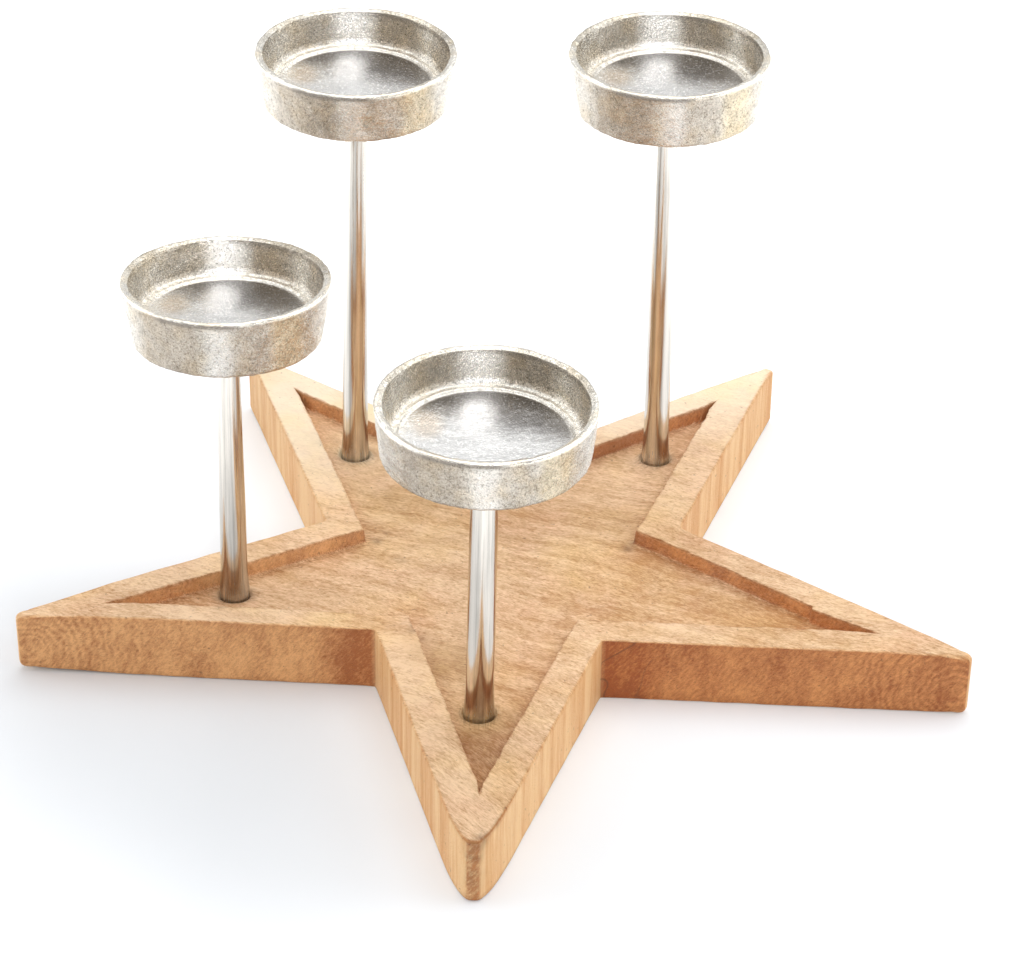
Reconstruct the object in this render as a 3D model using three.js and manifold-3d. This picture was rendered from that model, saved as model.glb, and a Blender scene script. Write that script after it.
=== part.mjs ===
// Star candle holder: a routed wooden star with four cast cups on metal stems.
// Millimetres, +Z up. The origin is the star's centre on its underside, and the front point looks along -Y.
import * as THREE from 'three';
import { mergeVertices } from 'three/addons/utils/BufferGeometryUtils.js';
import Module from 'manifold-3d';

const wasm = await Module();
wasm.setup();

// Star slab
const STAR_REACH = 115; // centre to the place where a point's two straight sides would meet
const NOTCH_REACH = 42.3; // centre to the inner corner between two points
const SLAB_THICKNESS = 15.8;
const ARRIS = 0.7; // rounding of the top and bottom edges
const POINT_FLAT = 2.4; // width of a point's blunt end
const POINT_TAPER = 14; // length over which a point's sides turn in to its blunt end
const BORDER_WIDTH = 7.7; // raised border, square to the sides
const RECESS_DEPTH = 3.8;

// How the hand cutting strays from a true star, anticlockwise from the front point.
const POINT_SHIFT = [1.8, -0.8, 0.6, -0.7, -2.3]; // outwards
const POINT_TURN = [0, 0, 0.2, 0.7, -2.4]; // degrees
const POINT_CUT = [10.3, 2, 2.5, 2.5, 2]; // how far each end is cut back
const NOTCH_SHIFT = [-0.3, 2.5, -0.8, 0.2, -0.9]; // outwards
const NOTCH_TURN = [0.5, 0, -0.5, 1.8, -2.4]; // degrees
const BORDER_SHIFT = [0.1, 0.3, -0.2, 1.5, -0.8, -0.7, 0.1, -0.1, -1.5, 1]; // side after side

// Cast cup, measured from its underside
const CUP_MOUTH_DIAMETER = 42;
const CUP_WALL = 2; // at the rim
const CUP_BASE_ROUND = 1.3;
const CUP_RIM_ROUND = 0.8;
const CUP_DEPTH = 8; // rim to the ledge round the floor
const CUP_LEDGE_WIDTH = 2.1;
const CUP_COVE = 0.9; // rounding between wall and ledge
const CUP_FLOOR_STEP = 0.5; // ledge down to the edge of the floor
const CUP_FLOOR_DISH = 0.4; // edge of the floor down to its middle
const SOCKET_DIAMETER = 4.2; // blind hole in the underside that the stem's spigot enters
const SOCKET_DEPTH = 1.5;

// Stem
const STEM_LOW_DIAMETER = 6.2;
const STEM_FOOT_DIAMETER = 6.9;
const STEM_FLARE_HEIGHT = 6; // height over which the stem widens to its foot
const BEAD_WIDTH = 1.1; // brazed bead that stands out round the stem under the cup
const BEAD_HEIGHT = 1.4;
const SEAT_DEPTH = 1; // shallow bore in the recess floor that the foot stands in
const SEAT_CLEARANCE = 0.5; // round the foot

// Stud, washer and nut that hold a stem to the slab
const STUD_DIAMETER = 4;
const STUD_ENGAGEMENT = 12; // length inside the stem
const STUD_TAIL = 0.6; // length beyond the nut
const STUD_CHAMFER = 0.5;
const WASHER_DIAMETER = 9;
const WASHER_THICKNESS = 0.8;
const NUT_ACROSS_FLATS = 7;
const NUT_THICKNESS = 3.2;
const COUNTERBORE_DIAMETER = 13;
const COUNTERBORE_DEPTH = 6.4;
const STUD_HOLE_CLEARANCE = 0.4; // round the stud in the slab

const GAP = 0.3; // between pieces that touch on the real object
const OVERCUT = 1; // how far a cutting body stands past the face that it opens

// Four hand made holders, no two quite alike: the foot on the recess floor, the height of the rim above
// that floor along the stem, the cup's own height, the width of its underside and the stem under it.
const SHORT_RIM = 79.5;
const TALL_RIM = 109.3;

const FRONT_FOOT_X = -1.2;
const FRONT_FOOT_Y = -57.3;
const FRONT_CUP_HEIGHT = 12.5;
const FRONT_CUP_BASE_DIAMETER = 44;
const FRONT_STEM_TOP_DIAMETER = 5.9;
const FRONT_LEAN = [0.8, -1.8]; // degrees towards +X and +Y

const LEFT_FOOT_X = -59.1;
const LEFT_FOOT_Y = -14.5;
const LEFT_CUP_HEIGHT = 14.3;
const LEFT_CUP_BASE_DIAMETER = 42;
const LEFT_STEM_TOP_DIAMETER = 5.2;
const LEFT_LEAN = [0.2, 3];

const REAR_LEFT_FOOT_X = -36.8;
const REAR_LEFT_FOOT_Y = 48.4;
const REAR_LEFT_CUP_HEIGHT = 12.7;
const REAR_LEFT_CUP_BASE_DIAMETER = 43.1;
const REAR_LEFT_STEM_TOP_DIAMETER = 5.1;
const REAR_LEFT_LEAN = [1.1, -2.1];

const REAR_RIGHT_FOOT_X = 36.8;
const REAR_RIGHT_FOOT_Y = 50.9;
const REAR_RIGHT_CUP_HEIGHT = 13.8;
const REAR_RIGHT_CUP_BASE_DIAMETER = 43.1;
const REAR_RIGHT_STEM_TOP_DIAMETER = 5.1;
const REAR_RIGHT_LEAN = [-0.4, -1.5];

// Facets round a full turn, and steps in a quarter round
const CUP_SEGMENTS = 36;
const STEM_SEGMENTS = 20;
const HARDWARE_SEGMENTS = 20;
const NUT_SIDES = 6;
const ROUND_STEPS = 2;
const MERGE_DISTANCE = 1e-4;

const FLOOR_HEIGHT = SLAB_THICKNESS - RECESS_DEPTH;
const POINT_COUNT = POINT_SHIFT.length;
const FIFTH = (2 * Math.PI) / POINT_COUNT;
const FRONT = -Math.PI / 2;

const HOLDERS = [
  {
    name: 'front',
    foot: [FRONT_FOOT_X, FRONT_FOOT_Y],
    lean: FRONT_LEAN,
    rimHeight: SHORT_RIM,
    cupHeight: FRONT_CUP_HEIGHT,
    baseDiameter: FRONT_CUP_BASE_DIAMETER,
    stemTopDiameter: FRONT_STEM_TOP_DIAMETER,
  },
  {
    name: 'left',
    foot: [LEFT_FOOT_X, LEFT_FOOT_Y],
    lean: LEFT_LEAN,
    rimHeight: SHORT_RIM,
    cupHeight: LEFT_CUP_HEIGHT,
    baseDiameter: LEFT_CUP_BASE_DIAMETER,
    stemTopDiameter: LEFT_STEM_TOP_DIAMETER,
  },
  {
    name: 'rear_left',
    foot: [REAR_LEFT_FOOT_X, REAR_LEFT_FOOT_Y],
    lean: REAR_LEFT_LEAN,
    rimHeight: TALL_RIM,
    cupHeight: REAR_LEFT_CUP_HEIGHT,
    baseDiameter: REAR_LEFT_CUP_BASE_DIAMETER,
    stemTopDiameter: REAR_LEFT_STEM_TOP_DIAMETER,
  },
  {
    name: 'rear_right',
    foot: [REAR_RIGHT_FOOT_X, REAR_RIGHT_FOOT_Y],
    lean: REAR_RIGHT_LEAN,
    rimHeight: TALL_RIM,
    cupHeight: REAR_RIGHT_CUP_HEIGHT,
    baseDiameter: REAR_RIGHT_CUP_BASE_DIAMETER,
    stemTopDiameter: REAR_RIGHT_STEM_TOP_DIAMETER,
  },
];

const wood = new THREE.MeshStandardMaterial({ color: 0xc99a6b, roughness: 0.7, metalness: 0 });
const castMetal = new THREE.MeshStandardMaterial({ color: 0xc4c0b8, roughness: 0.45, metalness: 1 });
const polishedMetal = new THREE.MeshStandardMaterial({ color: 0xcfc8bd, roughness: 0.15, metalness: 1 });
const zincSteel = new THREE.MeshStandardMaterial({ color: 0xa9abad, roughness: 0.35, metalness: 1 });

function toSolid(geometry, matrix = new THREE.Matrix4()) {
  const bare = geometry.clone().applyMatrix4(matrix);
  bare.deleteAttribute('normal');
  bare.deleteAttribute('uv');
  const merged = mergeVertices(bare, MERGE_DISTANCE);
  const vertProperties = new Float32Array(merged.attributes.position.array);
  const triVerts = new Uint32Array(merged.index.array);
  return new wasm.Manifold(new wasm.Mesh({ numProp: 3, vertProperties, triVerts }));
}

function toGeometry(solid) {
  const mesh = solid.getMesh();
  const geometry = new THREE.BufferGeometry();
  geometry.setAttribute('position', new THREE.BufferAttribute(new Float32Array(mesh.vertProperties), 3));
  geometry.setIndex(new THREE.BufferAttribute(new Uint32Array(mesh.triVerts), 1));
  geometry.computeVertexNormals();
  return geometry;
}

// Turned body round +Z from [radius, height] pairs that start and end on the axis or close on themselves.
function turned(profile, segments) {
  const points = profile.map(([radius, height]) => new THREE.Vector2(radius, height));
  return new THREE.LatheGeometry(points, segments).rotateX(Math.PI / 2);
}

function rod(diameter, low, high, segments = HARDWARE_SEGMENTS) {
  const radius = diameter / 2;
  return turned([[0, low], [radius, low], [radius, high], [0, high]], segments);
}

// Quarter round in a profile from one heading to another, as [radius, height] pairs.
function quarter(centreRadius, centreHeight, size, startDegrees, endDegrees) {
  const pairs = [];
  for (let step = 0; step <= ROUND_STEPS; step += 1) {
    const degrees = THREE.MathUtils.lerp(startDegrees, endDegrees, step / ROUND_STEPS);
    const angle = THREE.MathUtils.degToRad(degrees);
    pairs.push([centreRadius + size * Math.cos(angle), centreHeight + size * Math.sin(angle)]);
  }
  return pairs;
}

function polar(reach, angle) {
  return new THREE.Vector2(reach * Math.cos(angle), reach * Math.sin(angle));
}

// Corners where the straight sides meet: point, notch, point, notch and so on, anticlockwise.
function sharpCorners() {
  const corners = [];
  for (let index = 0; index < POINT_COUNT; index += 1) {
    const pointAngle = FRONT + index * FIFTH + THREE.MathUtils.degToRad(POINT_TURN[index]);
    const notchAngle = FRONT + (index + 0.5) * FIFTH + THREE.MathUtils.degToRad(NOTCH_TURN[index]);
    corners.push(polar(STAR_REACH + POINT_SHIFT[index], pointAngle));
    corners.push(polar(NOTCH_REACH + NOTCH_SHIFT[index], notchAngle));
  }
  return corners;
}

// Outer outline: each point's sides run straight to a shoulder, then turn in to the blunt end.
function slabOutline(corners) {
  const outline = [];
  for (let index = 0; index < POINT_COUNT; index += 1) {
    const tip = corners[2 * index];
    const before = corners[(2 * index + corners.length - 1) % corners.length];
    const after = corners[2 * index + 1];
    const axis = tip.clone().normalize();
    const across = new THREE.Vector2(-axis.y, axis.x);
    const end = tip.length() - POINT_CUT[index];
    const drop = POINT_CUT[index] + POINT_TAPER;
    const onSide = (notch) => tip.clone().lerp(notch, drop / (tip.length() - notch.dot(axis)));
    outline.push(onSide(before));
    outline.push(axis.clone().multiplyScalar(end).addScaledVector(across, -POINT_FLAT / 2));
    outline.push(axis.clone().multiplyScalar(end).addScaledVector(across, POINT_FLAT / 2));
    outline.push(onSide(after));
    outline.push(after);
  }
  return outline;
}

// Recess outline: every straight side moved inwards by its own border width, then met with its neighbours.
function recessOutline(corners) {
  const sides = corners.map((start, index) => {
    const along = corners[(index + 1) % corners.length].clone().sub(start).normalize();
    const inward = new THREE.Vector2(-along.y, along.x);
    return { start: start.clone().addScaledVector(inward, BORDER_WIDTH + BORDER_SHIFT[index]), along };
  });
  return sides.map((side, index) => {
    const previous = sides[(index + sides.length - 1) % sides.length];
    const apart = side.start.clone().sub(previous.start);
    const reach = apart.cross(side.along) / previous.along.cross(side.along);
    return previous.start.clone().addScaledVector(previous.along, reach);
  });
}

// Matrix of a holder's own frame: on the recess floor at its foot, leaning with the stem.
function holderMatrix(holder) {
  const [leanX, leanY] = holder.lean.map(THREE.MathUtils.degToRad);
  const lean = new THREE.Euler(-leanY, leanX, 0);
  return new THREE.Matrix4().makeRotationFromEuler(lean).setPosition(...holder.foot, FLOOR_HEIGHT);
}

// Heights in a holder's own frame, where the recess floor is zero
const SEAT_LEVEL = -SEAT_DEPTH;
const FOOT_LEVEL = SEAT_LEVEL + GAP;
const COUNTERBORE_LEVEL = COUNTERBORE_DEPTH - FLOOR_HEIGHT;
const WASHER_TOP = COUNTERBORE_LEVEL - GAP;
const NUT_TOP = WASHER_TOP - WASHER_THICKNESS - GAP;
const STUD_LOW = NUT_TOP - NUT_THICKNESS - STUD_TAIL;
const STUD_HIGH = FOOT_LEVEL + STUD_ENGAGEMENT;

function cupLevel(holder) {
  return holder.rimHeight - holder.cupHeight;
}

function starBase() {
  const corners = sharpCorners();
  const slab = new THREE.ExtrudeGeometry(new THREE.Shape(slabOutline(corners)), {
    depth: SLAB_THICKNESS - 2 * ARRIS,
    bevelThickness: ARRIS,
    bevelSize: ARRIS,
    bevelOffset: -ARRIS,
    bevelSegments: ROUND_STEPS,
  }).translate(0, 0, ARRIS);
  const recess = new THREE.ExtrudeGeometry(new THREE.Shape(recessOutline(corners)), {
    depth: RECESS_DEPTH + OVERCUT,
    bevelEnabled: false,
  }).translate(0, 0, FLOOR_HEIGHT);
  let solid = toSolid(slab).subtract(toSolid(recess));
  for (const holder of HOLDERS) {
    const matrix = holderMatrix(holder);
    const below = -FLOOR_HEIGHT - OVERCUT;
    const seat = rod(STEM_FOOT_DIAMETER + 2 * SEAT_CLEARANCE, SEAT_LEVEL, OVERCUT, STEM_SEGMENTS);
    const hole = rod(STUD_DIAMETER + 2 * STUD_HOLE_CLEARANCE, below, OVERCUT);
    const counterbore = rod(COUNTERBORE_DIAMETER, below, COUNTERBORE_LEVEL);
    for (const cutter of [seat, hole, counterbore]) {
      solid = solid.subtract(toSolid(cutter, matrix));
    }
  }
  return toGeometry(solid);
}

function cup(holder) {
  const height = holder.cupHeight;
  const baseRadius = holder.baseDiameter / 2;
  const mouthRadius = CUP_MOUTH_DIAMETER / 2;
  const rimRadius = mouthRadius + CUP_WALL;
  const ledgeHeight = height - CUP_DEPTH;
  const taper = (rimRadius - baseRadius) / height;
  const wallFootRadius = mouthRadius - taper * CUP_DEPTH;
  const floorRadius = wallFootRadius - CUP_LEDGE_WIDTH;
  const floorHeight = ledgeHeight - CUP_FLOOR_STEP;
  const rimCentre = height - CUP_RIM_ROUND;
  const socketRadius = SOCKET_DIAMETER / 2;
  const profile = [
    [0, SOCKET_DEPTH],
    [socketRadius, SOCKET_DEPTH],
    [socketRadius, 0],
    ...quarter(baseRadius - CUP_BASE_ROUND, CUP_BASE_ROUND, CUP_BASE_ROUND, -90, 0),
    ...quarter(rimRadius - CUP_RIM_ROUND, rimCentre, CUP_RIM_ROUND, 0, 90),
    ...quarter(mouthRadius + CUP_RIM_ROUND, rimCentre, CUP_RIM_ROUND, 90, 180),
    ...quarter(wallFootRadius - CUP_COVE, ledgeHeight + CUP_COVE, CUP_COVE, 0, -90),
    [floorRadius, ledgeHeight],
    [floorRadius - CUP_FLOOR_STEP, floorHeight],
    [floorRadius / 2, floorHeight - 0.75 * CUP_FLOOR_DISH], // halfway out on a parabola
    [0, floorHeight - CUP_FLOOR_DISH],
  ];
  return turned(profile, CUP_SEGMENTS).translate(0, 0, cupLevel(holder));
}

function stem(holder) {
  const boreRadius = STUD_DIAMETER / 2 + GAP;
  const footRadius = STEM_FOOT_DIAMETER / 2;
  const lowRadius = STEM_LOW_DIAMETER / 2;
  const topRadius = holder.stemTopDiameter / 2;
  const top = cupLevel(holder) - GAP;
  const spigotRadius = SOCKET_DIAMETER / 2 - GAP;
  const spigotTop = top + SOCKET_DEPTH;
  const profile = [
    [0, STUD_HIGH + GAP],
    [boreRadius, STUD_HIGH + GAP],
    [boreRadius, FOOT_LEVEL],
    [footRadius, FOOT_LEVEL],
    [footRadius, SEAT_DEPTH],
    [(footRadius + 2 * lowRadius) / 3, SEAT_DEPTH + STEM_FLARE_HEIGHT / 2],
    [lowRadius, SEAT_DEPTH + STEM_FLARE_HEIGHT],
    [topRadius, top - BEAD_HEIGHT],
    [topRadius + BEAD_WIDTH / 3, top - BEAD_HEIGHT / 3],
    [topRadius + BEAD_WIDTH, top],
    [spigotRadius, top],
    [spigotRadius, spigotTop],
    [0, spigotTop],
  ];
  return turned(profile, STEM_SEGMENTS);
}

function stud() {
  const radius = STUD_DIAMETER / 2;
  const profile = [
    [0, STUD_LOW],
    [radius - STUD_CHAMFER, STUD_LOW],
    [radius, STUD_LOW + STUD_CHAMFER],
    [radius, STUD_HIGH - STUD_CHAMFER],
    [radius - STUD_CHAMFER, STUD_HIGH],
    [0, STUD_HIGH],
  ];
  return turned(profile, HARDWARE_SEGMENTS);
}

function washer() {
  const inner = STUD_DIAMETER / 2 + GAP;
  const outer = WASHER_DIAMETER / 2;
  const low = WASHER_TOP - WASHER_THICKNESS;
  const profile = [[inner, low], [outer, low], [outer, WASHER_TOP], [inner, WASHER_TOP], [inner, low]];
  return turned(profile, HARDWARE_SEGMENTS);
}

function nut() {
  const cornerReach = NUT_ACROSS_FLATS / Math.sqrt(3);
  const corners = [];
  for (let index = 0; index < NUT_SIDES; index += 1) {
    corners.push(polar(cornerReach, (index * 2 * Math.PI) / NUT_SIDES));
  }
  const outline = new THREE.Shape(corners);
  outline.holes.push(new THREE.Path().absarc(0, 0, STUD_DIAMETER / 2 + GAP, 0, 2 * Math.PI, true));
  const options = { depth: NUT_THICKNESS, bevelEnabled: false, curveSegments: HARDWARE_SEGMENTS };
  return new THREE.ExtrudeGeometry(outline, options).translate(0, 0, NUT_TOP - NUT_THICKNESS);
}

function part(name, geometry, material) {
  const mesh = new THREE.Mesh(geometry, material);
  mesh.name = name;
  return mesh;
}

const object = new THREE.Group();
object.add(part('star_base', starBase(), wood));
for (const holder of HOLDERS) {
  const group = new THREE.Group();
  holderMatrix(holder).decompose(group.position, group.quaternion, group.scale);
  group.add(part(`${holder.name}_cup`, cup(holder), castMetal.clone()));
  group.add(part(`${holder.name}_stem`, stem(holder), polishedMetal.clone()));
  group.add(part(`${holder.name}_stud`, stud(), zincSteel.clone()));
  group.add(part(`${holder.name}_washer`, washer(), zincSteel.clone()));
  group.add(part(`${holder.name}_nut`, nut(), zincSteel.clone()));
  object.add(group);
}

export default object;
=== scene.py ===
"""Star candle holder: a routed mango wood star with four sand cast cups on polished stems.

Metres, +Z up. The origin is the star's centre on its underside, and the front point looks along -Y.
"""

import math
from collections import namedtuple

import bpy
import numpy as np
from mathutils import Matrix, Vector


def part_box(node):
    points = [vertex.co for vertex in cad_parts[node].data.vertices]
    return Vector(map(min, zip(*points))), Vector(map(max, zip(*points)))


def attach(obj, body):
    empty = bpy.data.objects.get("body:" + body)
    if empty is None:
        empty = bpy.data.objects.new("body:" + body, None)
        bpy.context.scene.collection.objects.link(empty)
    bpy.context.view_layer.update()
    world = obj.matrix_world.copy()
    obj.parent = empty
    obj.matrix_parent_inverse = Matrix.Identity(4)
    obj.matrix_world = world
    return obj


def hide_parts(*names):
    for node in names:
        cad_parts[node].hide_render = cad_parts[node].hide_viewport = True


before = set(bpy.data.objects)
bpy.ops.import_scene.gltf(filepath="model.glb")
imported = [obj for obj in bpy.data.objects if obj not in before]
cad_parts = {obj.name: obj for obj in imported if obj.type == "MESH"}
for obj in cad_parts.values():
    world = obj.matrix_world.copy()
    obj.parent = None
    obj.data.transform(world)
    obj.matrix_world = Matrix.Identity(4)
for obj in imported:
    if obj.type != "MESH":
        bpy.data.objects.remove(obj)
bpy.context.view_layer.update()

bl_info = {
    "name": "Star candle holder",
    "version": (1, 0, 0),
    "blender": (4, 5, 0),
    "location": "View3D > Sidebar > Star holder",
    "description": "Builds a wooden star with four cast candle cups on metal stems in a pale studio",
    "category": "Add Mesh",
}

MM = 0.001

STAR_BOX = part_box("star_base")
SLAB_THICKNESS = STAR_BOX[1][2] - STAR_BOX[0][2]

# How the hand cutting strays from a true star, anticlockwise from the front point
POINTS = 5
FIFTH = 2 * math.pi / POINTS
FRONT = -math.pi / 2
POINT_SHIFT = np.array([1.8, -0.8, 0.6, -0.7, -2.3]) * MM  # outwards
POINT_TURN = np.radians([0, 0, 0.2, 0.7, -2.4])
POINT_CUT = np.array([10.3, 2, 2.5, 2.5, 2]) * MM  # how far each end is cut back
NOTCH_SHIFT = np.array([-0.3, 2.5, -0.8, 0.2, -0.9]) * MM
NOTCH_TURN = np.radians([0.5, 0, -0.5, 1.8, -2.4])
BORDER_SHIFT = np.array([0.1, 0.3, -0.2, 1.5, -0.8, -0.7, 0.1, -0.1, -1.5, 1]) * MM  # side after side

END_ARRIS = np.array([0.2, 1.9, 1.4, 1.4, 1.9])  # how many times more the edges are rounded at each end
END_SINK = np.array([0.1, 0.35, 0.4, 0.3, 0.9]) * MM  # wear at each end: how far the top has sunk,
END_RISE = np.array([0.1, 0.15, 0.3, 0.3, 0.85]) * MM  # how far the underside has risen,
END_REACH = np.array([5, 9, 9, 9, 17]) * MM  # and how far in this goes
STEP_POINT = 1  # the right point, whose rear recess wall has a step
STEP_FROM_TIP = 15.3 * MM
STEP_WIDTH = 1.1 * MM
STEP_SLOPE = 0.4 * MM  # length over which the step comes back to the wall
TAPER_HANDLE = 0.2  # where on the taper a point's side starts to bend
RECESS_LIP = 0.3 * MM  # rounding of the recess's upper edge
RECESS_DRAFT = 0.3 * MM  # how far the recess wall leans out at its top
RECESS_COVE = 0.7 * MM

# Grid of the star: columns on each of its ten straight sides, closer together near a point's end, and its
# rows, as shares of the way from the middle to the edge and from the edge to the recess
SIDE_COLUMNS = 108
COLUMN_CROWDING = 1.25
UNDERSIDE_ROWS = (0.0, 0.25, 0.5, 0.72, 0.88, 0.96, 0.99)
BORDER_ROWS = (0.05, 0.15, 0.3, 0.45, 0.6, 0.75, 0.88, 0.96)
FLOOR_ROWS = (
    0.985, 0.965, 0.94, 0.91, 0.88, 0.85, 0.81, 0.77, 0.73, 0.69, 0.65, 0.6,
    0.55, 0.5, 0.45, 0.4, 0.35, 0.3, 0.25, 0.2, 0.14, 0.08, 0.03, 0.0,
)

# Places in plan and level, radius and darkness of the marks that work and wear left in the wood, and of a
# painted shadow in a chisel cut
Mark = namedtuple("Mark", "x y z radius strength")
MARKS = (
    Mark(-16.4, -30.3, 14.0, 1.8, 0.9),  # chisel slip in the front point's left wall
    Mark(-17.2, -32.2, 14.6, 1.1, 0.7),
    # The next two marks paint the shadow in a chisel cut that runs on into the floor past the wall's end.
    Mark(30.3, 9.7, 12.5, 1.3, 0.75),  # corner between the right and rear right points
    Mark(31.6, 12.2, 12.5, 1.1, 0.6),
    Mark(16.9, -32.6, 12.5, 1.6, 0.4),
    Mark(-60.6, -25.2, 15.8, 1.1, 0.5),  # knots in the left point's border
    Mark(-56.8, -24.6, 15.8, 0.8, 0.35),
    Mark(2.3, -105.2, 15.4, 1.9, 0.55),  # bruise at the front end
    Mark(5.1, -99.9, 15.8, 1.1, 0.45),
    Mark(0.2, -107.0, 12.5, 2.4, 0.4),
    Mark(0.2, -107.0, 6.0, 3.0, 0.2),
    Mark(-28.6, 9.6, 12.0, 1.2, 0.6),
    Mark(-26.4, 13.0, 12.0, 0.9, 0.45),
    Mark(-22.5, 1.7, 12.0, 1.2, 0.3),
    Mark(31.8, -27.9, 8.0, 1.5, 0.5),  # cracks by the notch, in the right point's front side
)

# Painted shade of the cups on the recess floor, as soft darker patches.
CUP_SHADOWS = (  # the same for soft, darker patches of the recess floor
    Mark(-9.5, -39.0, 12.0, 9.0, 0.85),
    Mark(29.6, 22.1, 12.0, 10.0, 0.35),
    Mark(-0.4, -69.0, 12.0, 8.0, 0.5),
    Mark(-24.0, 30.0, 12.0, 9.0, 0.3),
)

# Hand made holders, no two quite alike: lengths in millimetres, lean in degrees towards +X and +Y
Holder = namedtuple("Holder", "name foot lean rim cup_height base stem_top")
HOLDERS = (
    Holder("front", (-1.2, -57.3), (0.8, -1.8), 79.5, 12.5, 44.0, 5.9),
    Holder("left", (-59.1, -14.5), (0.2, 3.0), 79.5, 14.3, 42.0, 5.2),
    Holder("rear_left", (-36.8, 48.4), (1.1, -2.1), 109.3, 12.7, 43.1, 5.1),
    Holder("rear_right", (36.8, 50.9), (-0.4, -1.5), 109.3, 13.8, 43.1, 5.1),
)

# Wood: heading of the fibres on the top, as the sine and cosine of its angle to X, and the place of the
# side points' growth ring centres, in millimetres from the middle and from the underside
FIBRE_SINE, FIBRE_COSINE = 0.342, 0.940
RING_HEART = (104.0, 6.0)

# Joint of stem and slab, measured from the recess floor, and the stud's thread
SEAT_DEPTH = 1.0 * MM
SEAT_DIAMETER = 7.9 * MM
STUD_DIAMETER = 4.0 * MM
STUD_HOLE_DIAMETER = 4.8 * MM
COUNTERBORE_DIAMETER = 13.0 * MM
COUNTERBORE_LEVEL = -5.6 * MM
WASHER_TOP = -5.9 * MM
WASHER_THICKNESS = 0.8 * MM
WASHER_DIAMETER = 9.0 * MM
NUT_TOP = -7.0 * MM
NUT_THICKNESS = 3.2 * MM
NUT_ACROSS_FLATS = 7.0 * MM
STUD_LOW = -10.8 * MM
STUD_HIGH = 11.3 * MM
THREAD_PITCH = 0.7 * MM
THREAD_DEPTH = 0.4 * MM
CLEARANCE = 0.3 * MM  # round and above the stud
SPIGOT_CLEARANCE = 0.1 * MM

RIM_DROOP = 0.15 * MM  # how far the rims sag on average
ROD_WANDER = 0.045 * MM
BEAD_ROUGHNESS = 0.22 * MM

# First seeds of the cups' and stems' noise, and what sets the pattern of one piece off from the next's
CUP_SEED = 40
STEM_SEED = 80
PATTERN_SHIFT = 0.1


def length(name, description, millimetres):
    """A length property, given in millimetres and kept in metres."""
    return bpy.props.FloatProperty(
        name=name, description=description, default=millimetres * MM, min=0, unit="LENGTH", precision=5
    )


def colour(name, description, red, green, blue):
    """A linear colour property."""
    return bpy.props.FloatVectorProperty(
        name=name, description=description, default=(red, green, blue), min=0, max=2, size=3, subtype="COLOR"
    )


def number(name, description, value, highest=10.0):
    """A plain number property."""
    return bpy.props.FloatProperty(name=name, description=description, default=value, min=0, max=highest)


class StarSizes(bpy.types.PropertyGroup):
    """Sizes of the wooden star."""

    reach: length("Point reach", "Centre to where a point's straight sides would meet", 115)
    notch_reach: length("Notch reach", "Centre to the inner corner between two points", 42.3)
    arris: length("Arris", "Rounding of the top and bottom edges", 0.7)
    point_flat: length("Point flat", "Width of a point's blunt end", 2.4)
    point_taper: length("Point taper", "Length over which a point's sides turn in to its blunt end", 14)
    border: length("Border", "Width of the raised border, square to the sides", 7.7)
    recess: length("Recess depth", "Top of the border down to the recess floor", 3.8)
    cut_overrun: length("Cut overrun", "How far the chisel cuts run on past the recess corners", 1.5)
    waviness: length("Waviness", "How deep the sanded faces wander", 0.1)


class CupSizes(bpy.types.PropertyGroup):
    """Sizes of the cast cups."""

    mouth: length("Mouth", "Diameter of a cup's mouth", 42)
    wall: length("Wall", "Thickness of the wall at the rim", 2)
    base_round: length("Base rounding", "Rounding of the underside's edge", 1.3)
    rim_round: length("Rim rounding", "Rounding of the rim's outer edge", 0.6)
    bevel: length("Bevel", "Width of the bevel inside the rim", 0.8)
    bevel_drop: length("Bevel drop", "How far the bevel falls towards the inside", 0.32)
    bevel_round: length("Bevel rounding", "Rounding of the bevel's lower edge", 0.3)
    depth: length("Depth", "Rim to the ledge round the floor", 8)
    ledge: length("Ledge", "Width of the ledge round the floor", 2.1)
    cove: length("Cove", "Rounding between the wall and the ledge", 1.5)
    floor_step: length("Floor step", "Ledge down to the edge of the floor", 0.5)
    floor_dish: length("Floor dish", "Edge of the floor down to its middle", 0.4)
    socket: length("Socket", "Diameter of the blind hole for the stem's spigot", 4.2)
    socket_depth: length("Socket depth", "Depth of the blind hole for the stem's spigot", 1.5)
    lumps: length("Lumps", "How deep the sand mould's lumps reach into the casting", 0.14)


class StemSizes(bpy.types.PropertyGroup):
    """Sizes of the polished stems."""

    low: length("Diameter", "Diameter just above the foot", 6.2)
    foot: length("Foot", "Diameter of the foot", 6.9)
    flare: length("Flare", "Height over which the stem widens to its foot", 6)
    bead_width: length("Bead width", "How far the brazed bead stands out under the cup", 1.1)
    bead_height: length("Bead height", "Height of the brazed bead", 1.4)


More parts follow.
